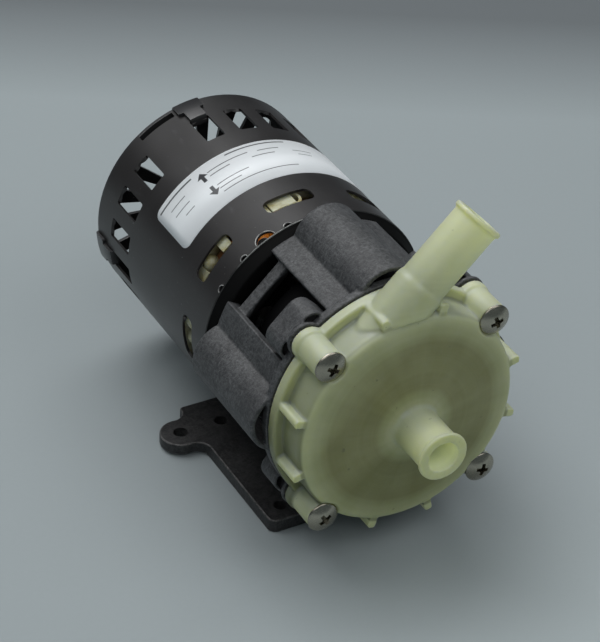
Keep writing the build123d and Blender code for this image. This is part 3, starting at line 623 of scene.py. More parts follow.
def cover_look(tree):
    """Translucent natural plastic: it is painted darker where only the hollow volute is behind it, as
    painted shade.
    """
    place = use(tree, shaft_place)
    tube = use(tree, tube_place)
    radius, distance, height = place["Radius"], place["Distance"], place["Height"]
    off_tube, along = tube["Radius"], tube["Along"]
    # Painted shade: darker where only the unlit hollow volute lies behind the wall
    hollow = times(
        tree, span(tree, radius, 39.6, 30.0), span(tree, distance, 6.0, 0.0),
        span(tree, radius, 7.9, 15.0), span(tree, distance, -6.0, -4.4),
        span(tree, off_tube, 6.5, 12.0, 0.55, 1.0),
    )
    from_line = vector(tree, "ADD", here(tree), (0.0, 0.0, -SHAFT_Z * MM))
    heading = vector(tree, "NORMALIZE", vector(tree, "MULTIPLY", from_line, (1.0, 0.0, 1.0)))
    spoke = cloud(tree, 3.2, 4.0, heading)
    rings = cloud(tree, 0.55, 3.0, add(tree, "ShaderNodeCombineXYZ", {"X": radius}).outputs[0])
    marks = calc(tree, "ADD", spoke, times(tree, rings, 0.6))
    haze = span(tree, calc(tree, "ADD", times(tree, marks, 0.7), cloud(tree, 70.0, 4.0)), 0.85, 1.25)
    light = blend(tree, haze, (0.46, 0.495, 0.27, 1), (0.53, 0.56, 0.33, 1))
    dark = blend(tree, haze, (0.22, 0.225, 0.09, 1), (0.28, 0.285, 0.135, 1))
    colour = blend(tree, hollow, light, dark)

    # Painted shade: the drum's side and the flange behind it are darkened between brighter edges, and more
    # towards the bottom
    drum_side_shade = span(tree, off(tree, radius, DRUM), 0.9, 0.4)
    drum_side_shade = times(tree, drum_side_shade, span(tree, distance, -0.5, 1.5))
    flange = times(tree, span(tree, distance, 10.5, 12.5), span(tree, height, 30.0, 5.0))
    sunk_shade = calc(tree, "MAXIMUM", drum_side_shade, flange)
    colour = blend(tree, times(tree, sunk_shade, 0.5), colour, (0.19, 0.205, 0.105, 1))
    low = times(tree, sunk_shade, span(tree, height, 20.0, -15.0, 0.0, 0.75))
    colour = blend(tree, low, colour, (0.10, 0.115, 0.055, 1))

    # Painted light: the spigots are painted paler towards their ends, where they catch more light, and a
    # little less at the very lips
    along_tube = times(tree, span(tree, along, 37.0, 62.0), span(tree, along, 65.0, 62.5, 0.4, 1.0))
    along_inlet = span(tree, distance, -7.0, -16.0)
    along_inlet = times(tree, along_inlet, span(tree, distance, -21.6, -19.0, 0.3, 1.0))
    spigot_painted_light = times(tree, calc(tree, "MAXIMUM", along_tube, along_inlet), 0.75)
    colour = blend(tree, spigot_painted_light, colour, (0.93, 0.96, 0.56, 1))

    # Painted sheen, a pale bluish reflection on what looks up; specks; and a painted glow of light carried
    # into the bores
    sheen = times(tree, span(tree, looks_up(tree), 0.1, 0.9), 0.35, calc(tree, "SUBTRACT", 1.0, hollow))
    colour = blend(tree, sheen, colour, (0.56, 0.62, 0.60, 1))
    specks = times(tree, patch(tree, 420.0, 1.0, 0.77, 0.83), 0.5)
    colour = blend(tree, specks, colour, (0.10, 0.10, 0.06, 1))
    # Painted light: the bores glow through the emission colour
    inlet = times(tree, span(tree, radius, 5.7, 5.3), span(tree, distance, -4.0, -16.0))
    outlet = times(tree, span(tree, off_tube, 5.8, 5.4), span(tree, along, 36.0, 58.0))
    lit = calc(tree, "MAXIMUM", inlet, outlet)
    look = grained(tree, colour, 700.0, 0.34, 0.14, 0.12, 0.0002)
    look["Emission Color"] = blend(tree, lit, (0, 0, 0, 1), (0.08, 0.09, 0.06, 1))
    return look


def fibre_look(base, fibre, amount, scale, gloss, dust=0.12, inner=0.0):
    """Glass filled plastic. Inside the inner radius it is painted black, as painted shade of the unlit
    hollow.
    """
    def build(tree):
        values = {"Base": base, "Fibre": fibre, "Amount": amount, "Scale": scale}
        mottle = use(tree, fibre_mottle, values)
        worn = use(tree, worn_edges, {"Threshold": 0.52, "Amount": 0.35})
        colour = blend(tree, worn["Mask"], mottle["Color"], fibre)
        values = {"Color": colour, "Dust": (0.30, 0.31, 0.32, 1), "Amount": dust}
        dusty = use(tree, settled_dust, values)
        place = use(tree, shaft_place)
        # Painted shade: black inside the inner radius, behind the flange
        depth = span(tree, place["Radius"], inner + 0.1, inner - 0.7)
        depth = times(tree, depth, span(tree, place["Distance"], 21.0, 23.0))
        colour = blend(tree, depth, dusty["Color"], (0.002, 0.002, 0.002, 1))
        look = grained(tree, colour, 1100.0, gloss, 0.12, 0.25, 0.0003)
        height = calc(tree, "ADD", look["bump"][0], times(tree, mottle["Height"], 0.6))
        look["bump"] = (height, *look["bump"][1:])
        return look
    return build


def paint_look(base, gloss, dust):
    """Black paint with light rubs and specks."""
    def build(tree):
        tone = blend(tree, patch(tree, 30.0, 3.0, 0.3, 0.7), base, shaded(base, 1.35))
        rubs = span(tree, cloud(tree, 260.0, 5.0, stretch=(1, 0.35, 1)), 0.66, 0.78)
        colour = blend(tree, times(tree, rubs, 0.35), tone, (0.10, 0.10, 0.105, 1))
        specks = times(tree, patch(tree, 850.0, 1.0, 0.77, 0.82), 0.6)
        colour = blend(tree, specks, colour, (0.22, 0.22, 0.21, 1))
        values = {"Color": colour, "Dust": (0.20, 0.205, 0.21, 1), "Amount": dust}
        dusty = use(tree, settled_dust, values)
        return grained(tree, dusty["Color"], 1500.0, gloss, 0.12, 0.10, 0.0002)
    return build


def rubbed_look(tree):
    """Corner of a painted sheet: paint with bare steel showing through here and there."""
    bare = patch(tree, 300.0, 5.0, 0.40, 0.56)
    colour = blend(tree, bare, (0.06, 0.06, 0.062, 1), (0.50, 0.50, 0.49, 1))
    look = grained(tree, colour, 1500.0, 0.36, 0.1, 0.3, 0.0001)
    look.update({"Metallic": times(tree, bare, 0.3), "bump": (bare, 0.3, 0.0001)})
    return look


def rim_rub_look(tree):
    """Front plate's rim: bare along the notches of the shell, painted elsewhere."""
    place = use(tree, shaft_place)
    open_side = span(tree, off(tree, place["Angle"], 115.0), 22.0, 15.0)
    bare = patch(tree, 300.0, 5.0, 0.36, 0.5, 0.35, 1.0)
    bare = times(tree, bare, span(tree, open_side, 0.0, 1.0, 0.08, 1.0))
    return {
        "Base Color": blend(tree, bare, (0.01, 0.01, 0.01, 1), (0.26, 0.27, 0.26, 1)),
        "Metallic": times(tree, bare, 0.3),
        "Roughness": patch(tree, 900.0, 3.0, 0.0, 1.0, 0.3, 0.55),
        "bump": (bare, 0.2, 0.0001),
    }


def metal_look(base, gloss, streak=(1, 1, 1), tarnish=(0.2, 0.18, 0.15, 1)):
    """Bare metal with fine lines and patches of tarnish."""
    def build(tree):
        patches = times(tree, patch(tree, 160.0, 5.0, 0.45, 0.8), 0.35)
        lines = cloud(tree, 1400.0, 3.0, stretch=streak)
        return {
            "Base Color": blend(tree, patches, base, tarnish),
            "Roughness": calc(tree, "MULTIPLY_ADD", lines, 0.18, gloss - 0.09),
            "bump": (lines, 0.12, 0.0001),
        }
    return build


def plain_look(base, gloss, scale=800.0, shade=0.8, bump=0.15):
    """Plain moulded, sintered or painted skin with a slow change of tone."""
    def build(tree):
        colour = blend(tree, patch(tree, 75.0, 4.0, 0.3, 0.7), shaded(base, shade), base)
        return grained(tree, colour, scale, gloss, 0.12, bump, 0.0002)
    return build


def former_look(tree):
    """Natural nylon with varnish run over it in amber patches, painted darker towards the shaft line as
    painted shade inside the shell.
    """
    patches = patch(tree, 190.0, 3.0, 0.42, 0.66)
    tone = blend(tree, patches, (0.56, 0.57, 0.42, 1), (0.34, 0.29, 0.10, 1))
    # Painted shade: darker towards the shaft line, deeper inside the shell
    sunk_shade = span(tree, use(tree, shaft_place)["Radius"], 40.2, 36.5)
    colour = blend(tree, sunk_shade, tone, (0.10, 0.075, 0.03, 1))
    return grained(tree, colour, 800.0, 0.36, 0.12, 0.15, 0.0002)


def sleeve_look(tree):
    """Braided orange sleeve with dark gaps in the braid. It glows faintly in its own colour: painted
    light.
    """
    strands = cloud(tree, 1500.0, 2.0, stretch=(1.0, 0.35, 0.6))
    patches = patch(tree, 500.0, 3.0, 0.3, 0.7)
    tone = blend(tree, patches, (0.95, 0.20, 0.012, 1), (0.85, 0.36, 0.05, 1))
    colour = blend(tree, span(tree, strands, 0.42, 0.34), tone, (0.10, 0.03, 0.01, 1))
    # Painted light: the sleeve's colour also feeds its emission
    return {"Base Color": colour, "Emission Color": colour, "bump": (strands, 0.6, 0.0004)}


def winding_look(tree):
    """Varnished magnet wire laid round the coil, darker between the turns."""
    rows = times(tree, use(tree, shaft_place)["Radius"], 7.0)
    wire = calc(tree, "ABSOLUTE", calc(tree, "SINE", rows))
    tone = blend(tree, wire, (0.03, 0.012, 0.005, 1), (0.20, 0.085, 0.03, 1))
    colour = blend(tree, patch(tree, 120.0, 4.0, 0.4, 0.7), tone, (0.12, 0.055, 0.02, 1))
    return {"Base Color": colour, "bump": (wire, 0.8, 0.0006)}


def stack_look(tree):
    """Thin steel sheets on edge: fine lines along the shaft."""
    sheets = times(tree, use(tree, shaft_place)["Distance"], 6.3)
    lines = calc(tree, "ABSOLUTE", calc(tree, "SINE", sheets))
    tone = blend(tree, lines, (0.12, 0.12, 0.13, 1), (0.34, 0.35, 0.36, 1))
    colour = blend(tree, patch(tree, 200.0, 4.0, 0.5, 0.75), tone, (0.22, 0.15, 0.10, 1))
    return {"Base Color": colour, "bump": (lines, 0.5, 0.0003)}


# Ruled lines of the blank label: distance behind the screw seats, then where each starts and ends
# round the shell, then its width
LABEL_LINES = (
    (111.4, 91.0, 107.4, 0.7), (107.5, 96.4, 103.8, 0.35), (103.9, 96.4, 103.8, 0.35),
    (100.3, 96.2, 100.6, 0.35), (112.0, 53.5, 76.7, 0.6), (108.8, 69.5, 85.5, 0.4),
    (106.5, 77.5, 85.5, 0.4), (100.6, 73.1, 85.8, 0.4), (98.3, 77.0, 85.8, 0.4),
    (95.8, 56.2, 85.5, 0.4), (108.2, 57.7, 66.0, 0.4), (105.4, 60.5, 69.4, 0.4),
    (106.2, 45.0, 53.0, 0.35), (103.6, 46.0, 52.0, 0.35),
)


def label_look(tree):
    """Blank printed sheet: plain ruled lines and a plain double arrow."""
    place = use(tree, shaft_place)
    along = place["Distance"]
    round_it = times(tree, place["Angle"], math.radians(1) * SHELL)

    def between(value, low, high, edge=0.12):
        rise = span(tree, value, low - edge, low + edge)
        return times(tree, rise, span(tree, value, high + edge, high - edge))

    marks = None
    for across, first, last, thick in LABEL_LINES:
        one = times(tree, between(along, across, across + thick), between(round_it, first, last))
        marks = one if marks is None else calc(tree, "MAXIMUM", marks, one)
    off_arrow = off(tree, round_it, 87.8)
    for tip, way in ((111.0, -1.0), (96.7, 1.0)):
        from_tip = times(tree, calc(tree, "SUBTRACT", along, tip), way)
        head = calc(tree, "SUBTRACT", times(tree, from_tip, 0.8), off_arrow)
        head = times(tree, span(tree, head, -0.1, 0.1), between(from_tip, 0.0, 2.7))
        stem = times(tree, span(tree, off_arrow, 0.8, 0.6), between(from_tip, 2.4, 5.4))
        marks = calc(tree, "MAXIMUM", marks, calc(tree, "MAXIMUM", head, stem))
    patches = patch(tree, 60.0, 3.0, 0.3, 0.7)
    paper = blend(tree, patches, (0.86, 0.90, 0.92, 1), (0.92, 0.95, 0.97, 1))
    colour = blend(tree, times(tree, marks, 0.95), paper, (0.03, 0.03, 0.035, 1))
    return grained(tree, colour, 1200.0, 0.38, 0.08, 0.06, 0.0001)


cover_plastic = surface(
    "translucent_cover_plastic",
    cover_look,
    **{
        "Subsurface Weight": 0.85, "Subsurface Radius": (1.0, 0.95, 0.45), "Subsurface Scale": 0.005,
        "IOR": 1.46, "Emission Strength": 1.0,
    },
)
insulator_plastic = surface(
    "insulator_plastic",
    former_look,
    **{"Subsurface Weight": 0.5, "Subsurface Radius": (1.0, 0.9, 0.5), "Subsurface Scale": 0.001},
)
bracket_plastic = surface(
    "glass_filled_bracket",
    fibre_look((0.022, 0.023, 0.025, 1), (0.19, 0.195, 0.20, 1), 0.6, 1000.0, 0.52, 0.12, 36.9),
)
base_plastic = surface(
    "glass_filled_base",
    fibre_look((0.005, 0.005, 0.006, 1), (0.10, 0.098, 0.096, 1), 0.5, 900.0, 0.46, 0.04),
)
# Lighter rubbed edge strips: wear, and also a painted highlight along the top edges
base_rub_and_highlight = surface(
    "base_edge_rub_and_highlight",
    fibre_look((0.016, 0.016, 0.016, 1), (0.22, 0.21, 0.205, 1), 0.7, 500.0, 0.42, 0.05),
)
wet_plastic = surface("wet_end_plastic", plain_look((0.16, 0.17, 0.16, 1), 0.4))
fan_plastic = surface("fan_plastic", plain_look((0.05, 0.05, 0.055, 1), 0.45))
magnet_finish = surface("ferrite_magnet", plain_look((0.075, 0.075, 0.08, 1), 0.6, 600.0))
ceramic_finish = surface("spindle_ceramic", plain_look((0.80, 0.79, 0.74, 1), 0.2, 500.0, 0.93, 0.04))
carbon_finish = surface("carbon_bushing", plain_look((0.05, 0.05, 0.052, 1), 0.5))
seal_rubber = surface("seal_rubber", plain_look((0.025, 0.025, 0.025, 1), 0.65))
# Near-black with little gloss: the plate's own black paint, darkened further as painted shade of the
# recess behind the shell's front edge
plate_paint_and_shade = surface(
    "front_plate_paint", plain_look((0.003, 0.003, 0.003, 1), 0.6), **{"Specular IOR Level": 0.12}
)
# Near-black with little gloss: painted shade of the unlit motor inside the bracket's windows
cup_shade_black = surface(
    "cup_in_painted_shade", plain_look((0.003, 0.003, 0.0035, 1), 0.7), **{"Specular IOR Level": 0.1}
)
shell_paint = surface("shell_black_paint", paint_look((0.020, 0.0185, 0.0185, 1), 0.34, 0.05))
cap_paint = surface("end_cap_paint", paint_look((0.022, 0.022, 0.023, 1), 0.30, 0.06))
rubbed_edge = surface("rubbed_paint_edge", rubbed_look)
rim_rub = surface("rubbed_plate_rim", rim_rub_look)
screw_steel, plated_steel, shaft_steel, rotor_aluminium, insert_brass, bearing_bronze = [
    surface(name, metal_look(*values), Metallic=1.0)
    for name, *values in (
        ("stainless_screws", (0.36, 0.34, 0.28, 1), 0.25, (1, 1, 5), (0.14, 0.125, 0.10, 1)),
        ("plated_steel", (0.45, 0.45, 0.44, 1), 0.38),
        ("ground_shaft", (0.58, 0.58, 0.58, 1), 0.22, (1, 8, 1)),
        ("cast_rotor_rings", (0.62, 0.63, 0.64, 1), 0.5),
        ("insert_brass", (0.66, 0.48, 0.20, 1), 0.35),
        ("sintered_bronze", (0.50, 0.33, 0.15, 1), 0.55),
    )
]
lamination_steel = surface("lamination_stack", stack_look, Metallic=0.6, Roughness=0.45)
wire_enamel = surface("coil_wire", winding_look, Roughness=0.35)
# The faint emission is painted light
glowing_lead_sleeve = surface("glowing_lead_sleeve", sleeve_look, **{"Roughness": 0.6, "Emission Strength": 0.12})
label_sheet = surface("blank_label", label_look)


# Pump head: cover with its screws, and the bracket behind it

def make_cover():
    """Volute, spigots, fins and screw tubes in one moulding."""
    tube = bmesh.new()
    end = DISCHARGE_END
    sections = [(8.6, 12.0), (8.6, 35.2), (8.48, 36.3), (DISCHARGE_TUBE, 37.6)]
    sections += [(DISCHARGE_TUBE, end - 1.9), (HOSE_LIP, end - 1.5), (HOSE_LIP, end - 0.35), (8.5, end)]
    rod(tube, sections, discharge_foot, discharge_ahead, 96)
    cover = piece_of("cover_moulding", tube)
    trim = bmesh.new()
    plug(trim, DRUM - 0.3, -12, 0.4, 128)
    cut_away(cover, trim)
    more = bmesh.new()
    tip = -DOME - INLET_REACH
    slope = DOME / (DRUM - INLET)
    volute = [
        (VOLUTE, COVER_REAR, 0.3), (COVER_FLANGE, COVER_REAR, 0.4), (COVER_FLANGE, FLANGE_FRONT, 0.5),
        (DRUM, FLANGE_FRONT, 0.5), (DRUM, 0.0, 3.0), (INLET, -DOME, 1.6), (INLET, tip + 1.9),
        (HOSE_LIP, tip + 1.5, 0.2), (HOSE_LIP, tip, 0.35), (INLET_BORE, tip, 0.25),
        (INLET_BORE, COVER_WALL - DOME), (VOLUTE, COVER_WALL - slope * (DRUM - VOLUTE), 1.0),
    ]
    turned(more, eased(volute), 160)
    post = eased([(0, 1.0), (5.3, 1.0, 0.4), (5.3, COVER_REAR), (0, COVER_REAR)])
    collar = [(0, FLANGE_FRONT), (5.9, FLANGE_FRONT + 0.6, 0.9), (5.9, COVER_REAR, 0.3), (0, COVER_REAR)]
    collar = eased(collar)
    web = [(36.0, 4.4), (SCREW_CIRCLE, 5.1), (SCREW_CIRCLE, -5.1), (36.0, -4.4)]
    for angle, centre in zip(QUARTERS, SCREW_SPOTS):
        turned(more, post, 48, centre)
        turned(more, collar, 48, centre)
        prism(more, tilted(web, angle), 2.4, 15.9)
    fin = eased([(38.0, -1.5), (COVER_FLANGE, -1.5, 1.1), (COVER_FLANGE, 1.5, 1.1), (38.0, 1.5)])
    for middle in COLUMNS:
        for side in (-15, 15):
            prism(more, tilted(fin, middle + side), 0.6, 12.4)
    joined_up(cover, more)
    holes = bmesh.new()
    bore = [(DISCHARGE_THROAT, 14.0), (DISCHARGE_THROAT, 34.5)]
    bore += [(DISCHARGE_BORE, 34.8), (DISCHARGE_BORE, 70.0)]
    rod(holes, bore, discharge_foot, discharge_ahead, 64)
    turned(holes, [(36.5, 14.2), (38.7, 14.2), (38.7, 16.5), (36.5, 16.5)])
    for centre in SCREW_SPOTS:
        plug(holes, SCREW_HOLE, 0.9, 17.0, 32, centre)
        plug(holes, 5.8, -5.0, 1.0, 48, centre)
    cut_away(cover, holes)
    moulded(cover, 0.42, 5, 0.5)
    placed(cover, cover_plastic, ["front_cover"])


def make_cover_screws():
    """Truss heads with a cross recess, each turned its own way."""
    heads = bmesh.new()
    crosses = bmesh.new()
    crown = [(0, -1.5)] + [(5.15 * step / 10, -1.5 + 1.75 * (step / 10) ** 2.0) for step in range(1, 11)]
    rim = [(5.4, 0.42), (5.5, 0.62), (5.5, 0.95), (5.4, 1.0)]
    shank = [(2.35, 1.0), (2.35, 25.7), (1.9, 26.4), (0, 26.4)]
    for centre, twist in zip(SCREW_SPOTS, (18, 62, 33, 76)):
        turned(heads, crown + rim + shank, 64, centre)
        for turn in (twist, twist + 90):
            ends = []
            for long, wide, distance in ((2.5, 0.72, -1.7), (1.5, 0.5, 0.8)):
                corners = tilted([(-long, -wide), (long, -wide), (long, wide), (-long, wide)], turn)
                ends.append([(centre[0] + u, distance, centre[1] + v) for u, v in corners])
            loft(crosses, *ends)
        turned(crosses, [(0, -1.7), (1.25, -1.7), (0.8, 0.9), (0, 0.9)], 24, centre)
    screws = piece_of("cover_screw_set", heads)
    cut_away(screws, crosses)
    placed(screws, screw_steel, ["cover_screws"])
    softened(screws, 0.12)


def saddle(outer, half, ease):
    """Outline of the lobe over a screw."""
    return eased([(36.0, -half), (outer, -half, ease), (outer, half, ease), (36.0, half)], 6)


def make_bracket():
    """Flange, hollow columns, saddles over the screws, rear pads, crossbars and foot."""
    column_spots = [flat_spot(COLUMN_CIRCLE, angle) for angle in COLUMNS]
    column = [(0, COLUMN_FRONT), (12.0, COLUMN_FRONT, 0.4), (12.0, BRACKET_REAR, 0.4), (0, BRACKET_REAR)]
    column = eased(column)
    solid = bmesh.new()
    for angle, centre in zip(COLUMNS, column_spots):
        outline = sector(0, COLUMN_OUTSIDE, angle, COLUMN_HALF_ANGLE, 20)
        prism(solid, outline, COLUMN_FRONT, BRACKET_REAR)
        turned(solid, column, 72, centre)
    for angle in QUARTERS:
        prism(solid, tilted(saddle(47.3, 9.5, 5.0), angle), 19.2, 29.2)
    bracket = piece_of("bracket_moulding", solid)
    hollow = bmesh.new()
    plug(hollow, 38.0, 10, 70, 128)
    for centre in column_spots:
        plug(hollow, 10.3, 10, PAD_FRONT, 64, centre)
    for angle in QUARTERS:
        prism(hollow, tilted(saddle(46.3, 8.5, 4.0), angle), 10.0, 27.6)
    cut_away(bracket, hollow)
    more = bmesh.new()
    flange = [
        (33.0, 18.5, 0.3), (HOUSING_RECESS, 18.5), (HOUSING_RECESS, BRACKET_FRONT, 0.3),
        (43.4, BRACKET_FRONT, 0.4),
        (43.4, 20.0, 0.4), (40.4, 20.0), (40.4, 21.5, 0.4), (33.0, 21.5, 0.4),
    ]
    turned(more, eased(flange), 160)
    for angle in COLUMNS:
        pad = sector(28.5, COLUMN_OUTSIDE, angle, COLUMN_HALF_ANGLE, 20)
        prism(more, pad, PAD_FRONT, BRACKET_REAR)
    seat = eased([(0, BRACKET_FRONT), (6.2, BRACKET_FRONT, 0.3), (6.2, 18.3, 0.3), (0, 18.3)])
    crossbar = [(34.0, -13.5), (37.0, -13.5), (37.0, 13.5), (34.0, 13.5)]
    for angle, centre in zip(QUARTERS, SCREW_SPOTS):
        turned(more, seat, 48, centre)
        plug(more, 4.3, 18.2, 27.7, 40, centre)
        prism(more, tilted(crossbar, angle), 51.4, 56.3)
    block(more, (-14.0, 24.0, -48.5), (14.0, BRACKET_REAR, -42.1))
    joined_up(bracket, more)
    holes = bmesh.new()
    plug(holes, HOUSING_RECESS, 10, 18.5, 128)
    for centre in SCREW_SPOTS:
        plug(holes, SCREW_HOLE, 10, 20.1, 32, centre)
        plug(holes, 3.1, 20.0, 26.5, 32, centre)
    for angle in COLUMNS:
        centre = flat_spot(NUT_CIRCLE, angle)
        plug(holes, 5.5, 18.0, 22.0, 32, centre)
        plug(holes, 2.2, 50.0, 66.0, 24, centre)
    cut_away(bracket, holes)
    moulded(bracket, 0.40, 2, 0.38)
    placed(bracket, bracket_plastic, ["motor_bracket"])


# Base plate

def ear_edge(wide, ear, row, lobe, near, far):
    """Edge of the base round one ear, with a hollow blend on each side of the lobe."""
    near_lean = math.asin((ear - wide - near) / (lobe + near))
    far_lean = math.asin((ear - wide - far) / (lobe + far))
    near_turn = math.degrees(near_lean)
    far_turn = math.degrees(far_lean)
    edge = bow(wide + near, row - (lobe + near) * math.cos(near_lean), near, 180, 90 - near_turn)
    edge += bow(ear, row, lobe, near_turn - 90, 90 + far_turn, 28)
    return edge + bow(wide + far, row + (lobe + far) * math.cos(far_lean), far, far_turn - 90, -180)


def make_base():
    """Plate with two ears. Its outer edges are rubbed and painted lighter as a highlight, and the edges of
    its holes stay sharp.
    """
    front, rear, wide, thick = 24.5, 95.5, 35.6, 5.2
    ear, row, lobe, near_blend, far_blend = 41.275, 82.3, 7.4, 5.0, 4.2
    edge = ear_edge(wide, ear, row, lobe, near_blend, far_blend)
    right = [(wide, front, 3.0)] + edge + [(wide, rear, 1.6)]
    left = [(-one[0], *one[1:]) for one in right[::-1]]
    holes = [
        (28.575, 31.5, 2.4), (-28.575, 31.5, 2.4), (25.4, row, 2.4), (-25.4, row, 2.4),
        (ear, row, 2.6), (-ear, row, 2.6),
    ]
    plate = flat_sheet(eased(right + left, 5), [bow(*hole, 0, 360, 32)[:-1] for hole in holes])
    deepened(plate, thick)
    for vert in plate.verts:
        vert.co.z -= SHAFT_Z
    base = piece_of("base_moulding", plate, base_plastic, ["base_plate"])
    step = bmesh.new()
    for first, last in ((wide, 60.0), (-60.0, -wide)):
        block(step, (first, 40.0, -SHAFT_Z - 1.0), (last, 100.0, -SHAFT_Z + 1.0))
    cut_away(base, step)
    whole = bmesh.new()
    whole.from_mesh(base.data)
    weight = whole.edges.layers.float.new("bevel_weight_edge")
    for edge in whole.edges:
        middle = FROM_ROW @ ((edge.verts[0].co + edge.verts[1].co) / 2)
        at_hole = any(math.hypot(middle.x - x, middle.y - y) < radius + 0.2 for x, y, radius in holes)
        sharp = edge.calc_face_angle(0) > math.radians(40)
        edge[weight] = 1.0 if sharp and not at_hole else 0.0
        edge.smooth = not (sharp and at_hole)
    whole.to_mesh(base.data)
    whole.free()
    softened(base, 0.5, 3, worn=base_rub_and_highlight)
    base.modifiers[-1].limit_method = "WEIGHT"
    base.modifiers[-1].use_clamp_overlap = False


# Motor shell, the sheet on it, the cap behind it and the plate in front of it

def unrolled(angle):
    """Length round the shell from the seam to an angle."""
    return math.radians((angle - SEAM) % 360) * SHELL


def make_shell():
    """One wrapped sheet with its windows, slots and notches."""
    girth = 2 * math.pi * SHELL
    outline = [(0, SHELL_REAR), (0, SHELL_FRONT)]
    for angle, half in sorted(NOTCHES, key=lambda one: unrolled(one[0])):
        outline += bow(unrolled(angle), SHELL_FRONT, half, 180, 0)
    outline += [(girth, SHELL_FRONT), (girth, SHELL_REAR)]
    middle = unrolled(CLOSED_WINDOW)
    strip = [(7.3, 0.0), (7.3, -2.6), (6.9, -3.0), (-6.9, -3.0), (-7.3, -2.6), (-7.3, 0.0)]
    outline += [(middle + x, SHELL_REAR + y) for x, y in strip]
    open_windows = [angle for angle in WINDOWS if angle != CLOSED_WINDOW]
    holes = [oblong(3.65, 7.25, 0.8, unrolled(angle), 130.75) for angle in open_windows]
    holes += [oblong(9.0, 3.4, 2.4, unrolled(angle - 0.3), 76.9, 7) for angle in COILS]
    creases = [girth * step / 160 for step in range(1, 160)]
    sheet = bent(outline, SHELL, SHELL_WALL, SEAM, 0.0, holes, creases)
    sheet.normal_update()
    for face in sheet.faces:
        middle = face.calc_center_median()
        away = Vector((middle.x, 0, middle.z)).normalized()
        if middle.y < SHELL_FRONT + 4.1 and abs(face.normal.dot(away)) < 0.4:
            face.material_index = 1
    shell = piece_of("shell_tube", sheet, shell_paint, ["motor_shell"])
    softened(shell, 0.12, worn=rubbed_edge)


def make_notch_burrs():
    """Bare edge that the press turned up round each notch."""
    for number, (angle, half) in enumerate(NOTCHES):
        ring = arc(half + 0.26, 0, 180, 18) + arc(half - 0.04, 180, 0, 18)
        edge = bent([(x, SHELL_FRONT + y) for x, y in ring], SHELL, 0.4, angle, 0.22)
        burr = piece_of("notch_burr_" + str(number + 1), edge, rubbed_edge)
        softened(burr, 0.08)


def make_label():
    """Sheet stuck round the top of the shell."""
    first, last = 31.0, 149.0
    half = math.radians((last - first) / 2) * SHELL
    outline = oblong(half, 12.0, 3.0, math.radians(90) * SHELL, 102.0, 8)
    creases = [math.radians(first + 1.5 * step) * SHELL for step in range(1, 79)]
    sheet = bent(outline, SHELL, 0.12, 0.0, 0.14, (), creases)
    piece_of("label_sheet", sheet, label_sheet, ["motor_label"])


def make_end_cap():
    """Pressed disc of radial slots, with its bearing cup and four folded tabs."""
    inner, outer, half = 19.5, 37.5, math.radians(4.7)
    slot = [(inner, -half * inner, 1.2), (outer, -half * outer, 2.2)]
    slot = eased(slot + [(outer, half * outer, 2.2), (inner, half * inner, 1.2)], 5)
    disc = flat_sheet(arc(41.9, 0, 360, 144)[:-1], [tilted(slot, angle) for angle in WINDOWS])
    for axis in (0, 1):
        creased(disc, axis, [-38.5, -16.0, 16.0, 38.5])
    deepened(disc, 1.3)
    for vert in disc.verts:
        x, z, y = vert.co
        vert.co = (x, SHELL_REAR + y, z)
    cap = piece_of("end_cap_pressing", disc, cap_paint, ["motor_end_cap"])
    softened(cap, 0.22, worn=rubbed_edge)
    hub = bmesh.new()
    turned(hub, eased([(8.0, 137.4, 0.2), (9.6, 137.4, 0.4), (9.6, SHELL_REAR), (8.0, SHELL_REAR)]), 64)
    piece_of("rear_bearing_cup", hub, cap_paint)
    for number in range(4):
        make_tab("cap_tab_" + str(number + 1), 10.9 + 90 * number)


def make_tab(name, angle):
    """Folded tab: from the cap's rim, over its edge and along the shell, hooked into a window."""
    outside, half_wide, half_narrow = 42.7, 5.0, 3.1
    path = [(39.0, 148.55), (42.0, 148.55), (42.55, 148.35), (outside, 147.8)]
    path += [(outside, 138.6), (42.55, 138.05), (42.1, 137.8), (39.6, 137.8)]
    lengths = [0.0]
    for first, second in zip(path, path[1:]):
        lengths.append(lengths[-1] + (Vector(second) - Vector(first)).length)
    end = lengths[-1]
    shoulder = lengths[3] + 4.8
    right = [(half_wide, 0.0), (half_wide, shoulder, 0.8)]
    right += [(half_narrow, shoulder + 0.2, 0.5), (half_narrow, end, 0.3)]
    left = [(-one[0], *one[1:]) for one in right[::-1]]
    strip = flat_sheet(eased(left[-1:] + right + left[:-1]), [])
    creased(strip, 1, lengths[1:-1])
    creased(strip, 0, range(-4, 5))
    for vert in strip.verts:
        along = min(max(vert.co.y, 0.0), end)
        for number in range(len(path) - 1):
            if along <= lengths[number + 1] + 1e-6:
                break
        share = (along - lengths[number]) / (lengths[number + 1] - lengths[number])
        radius, distance = Vector(path[number]).lerp(Vector(path[number + 1]), share)
        vert.co = spot(radius, angle + math.degrees(vert.co.x / outside), distance)
    tab = piece_of(name, strip, cap_paint)
    solid = tab.modifiers.new("thickness", "SOLIDIFY")
    solid.thickness = 1.1 * MM
    solid.offset = 0.0
    softened(tab, 0.2, worn=rubbed_edge)


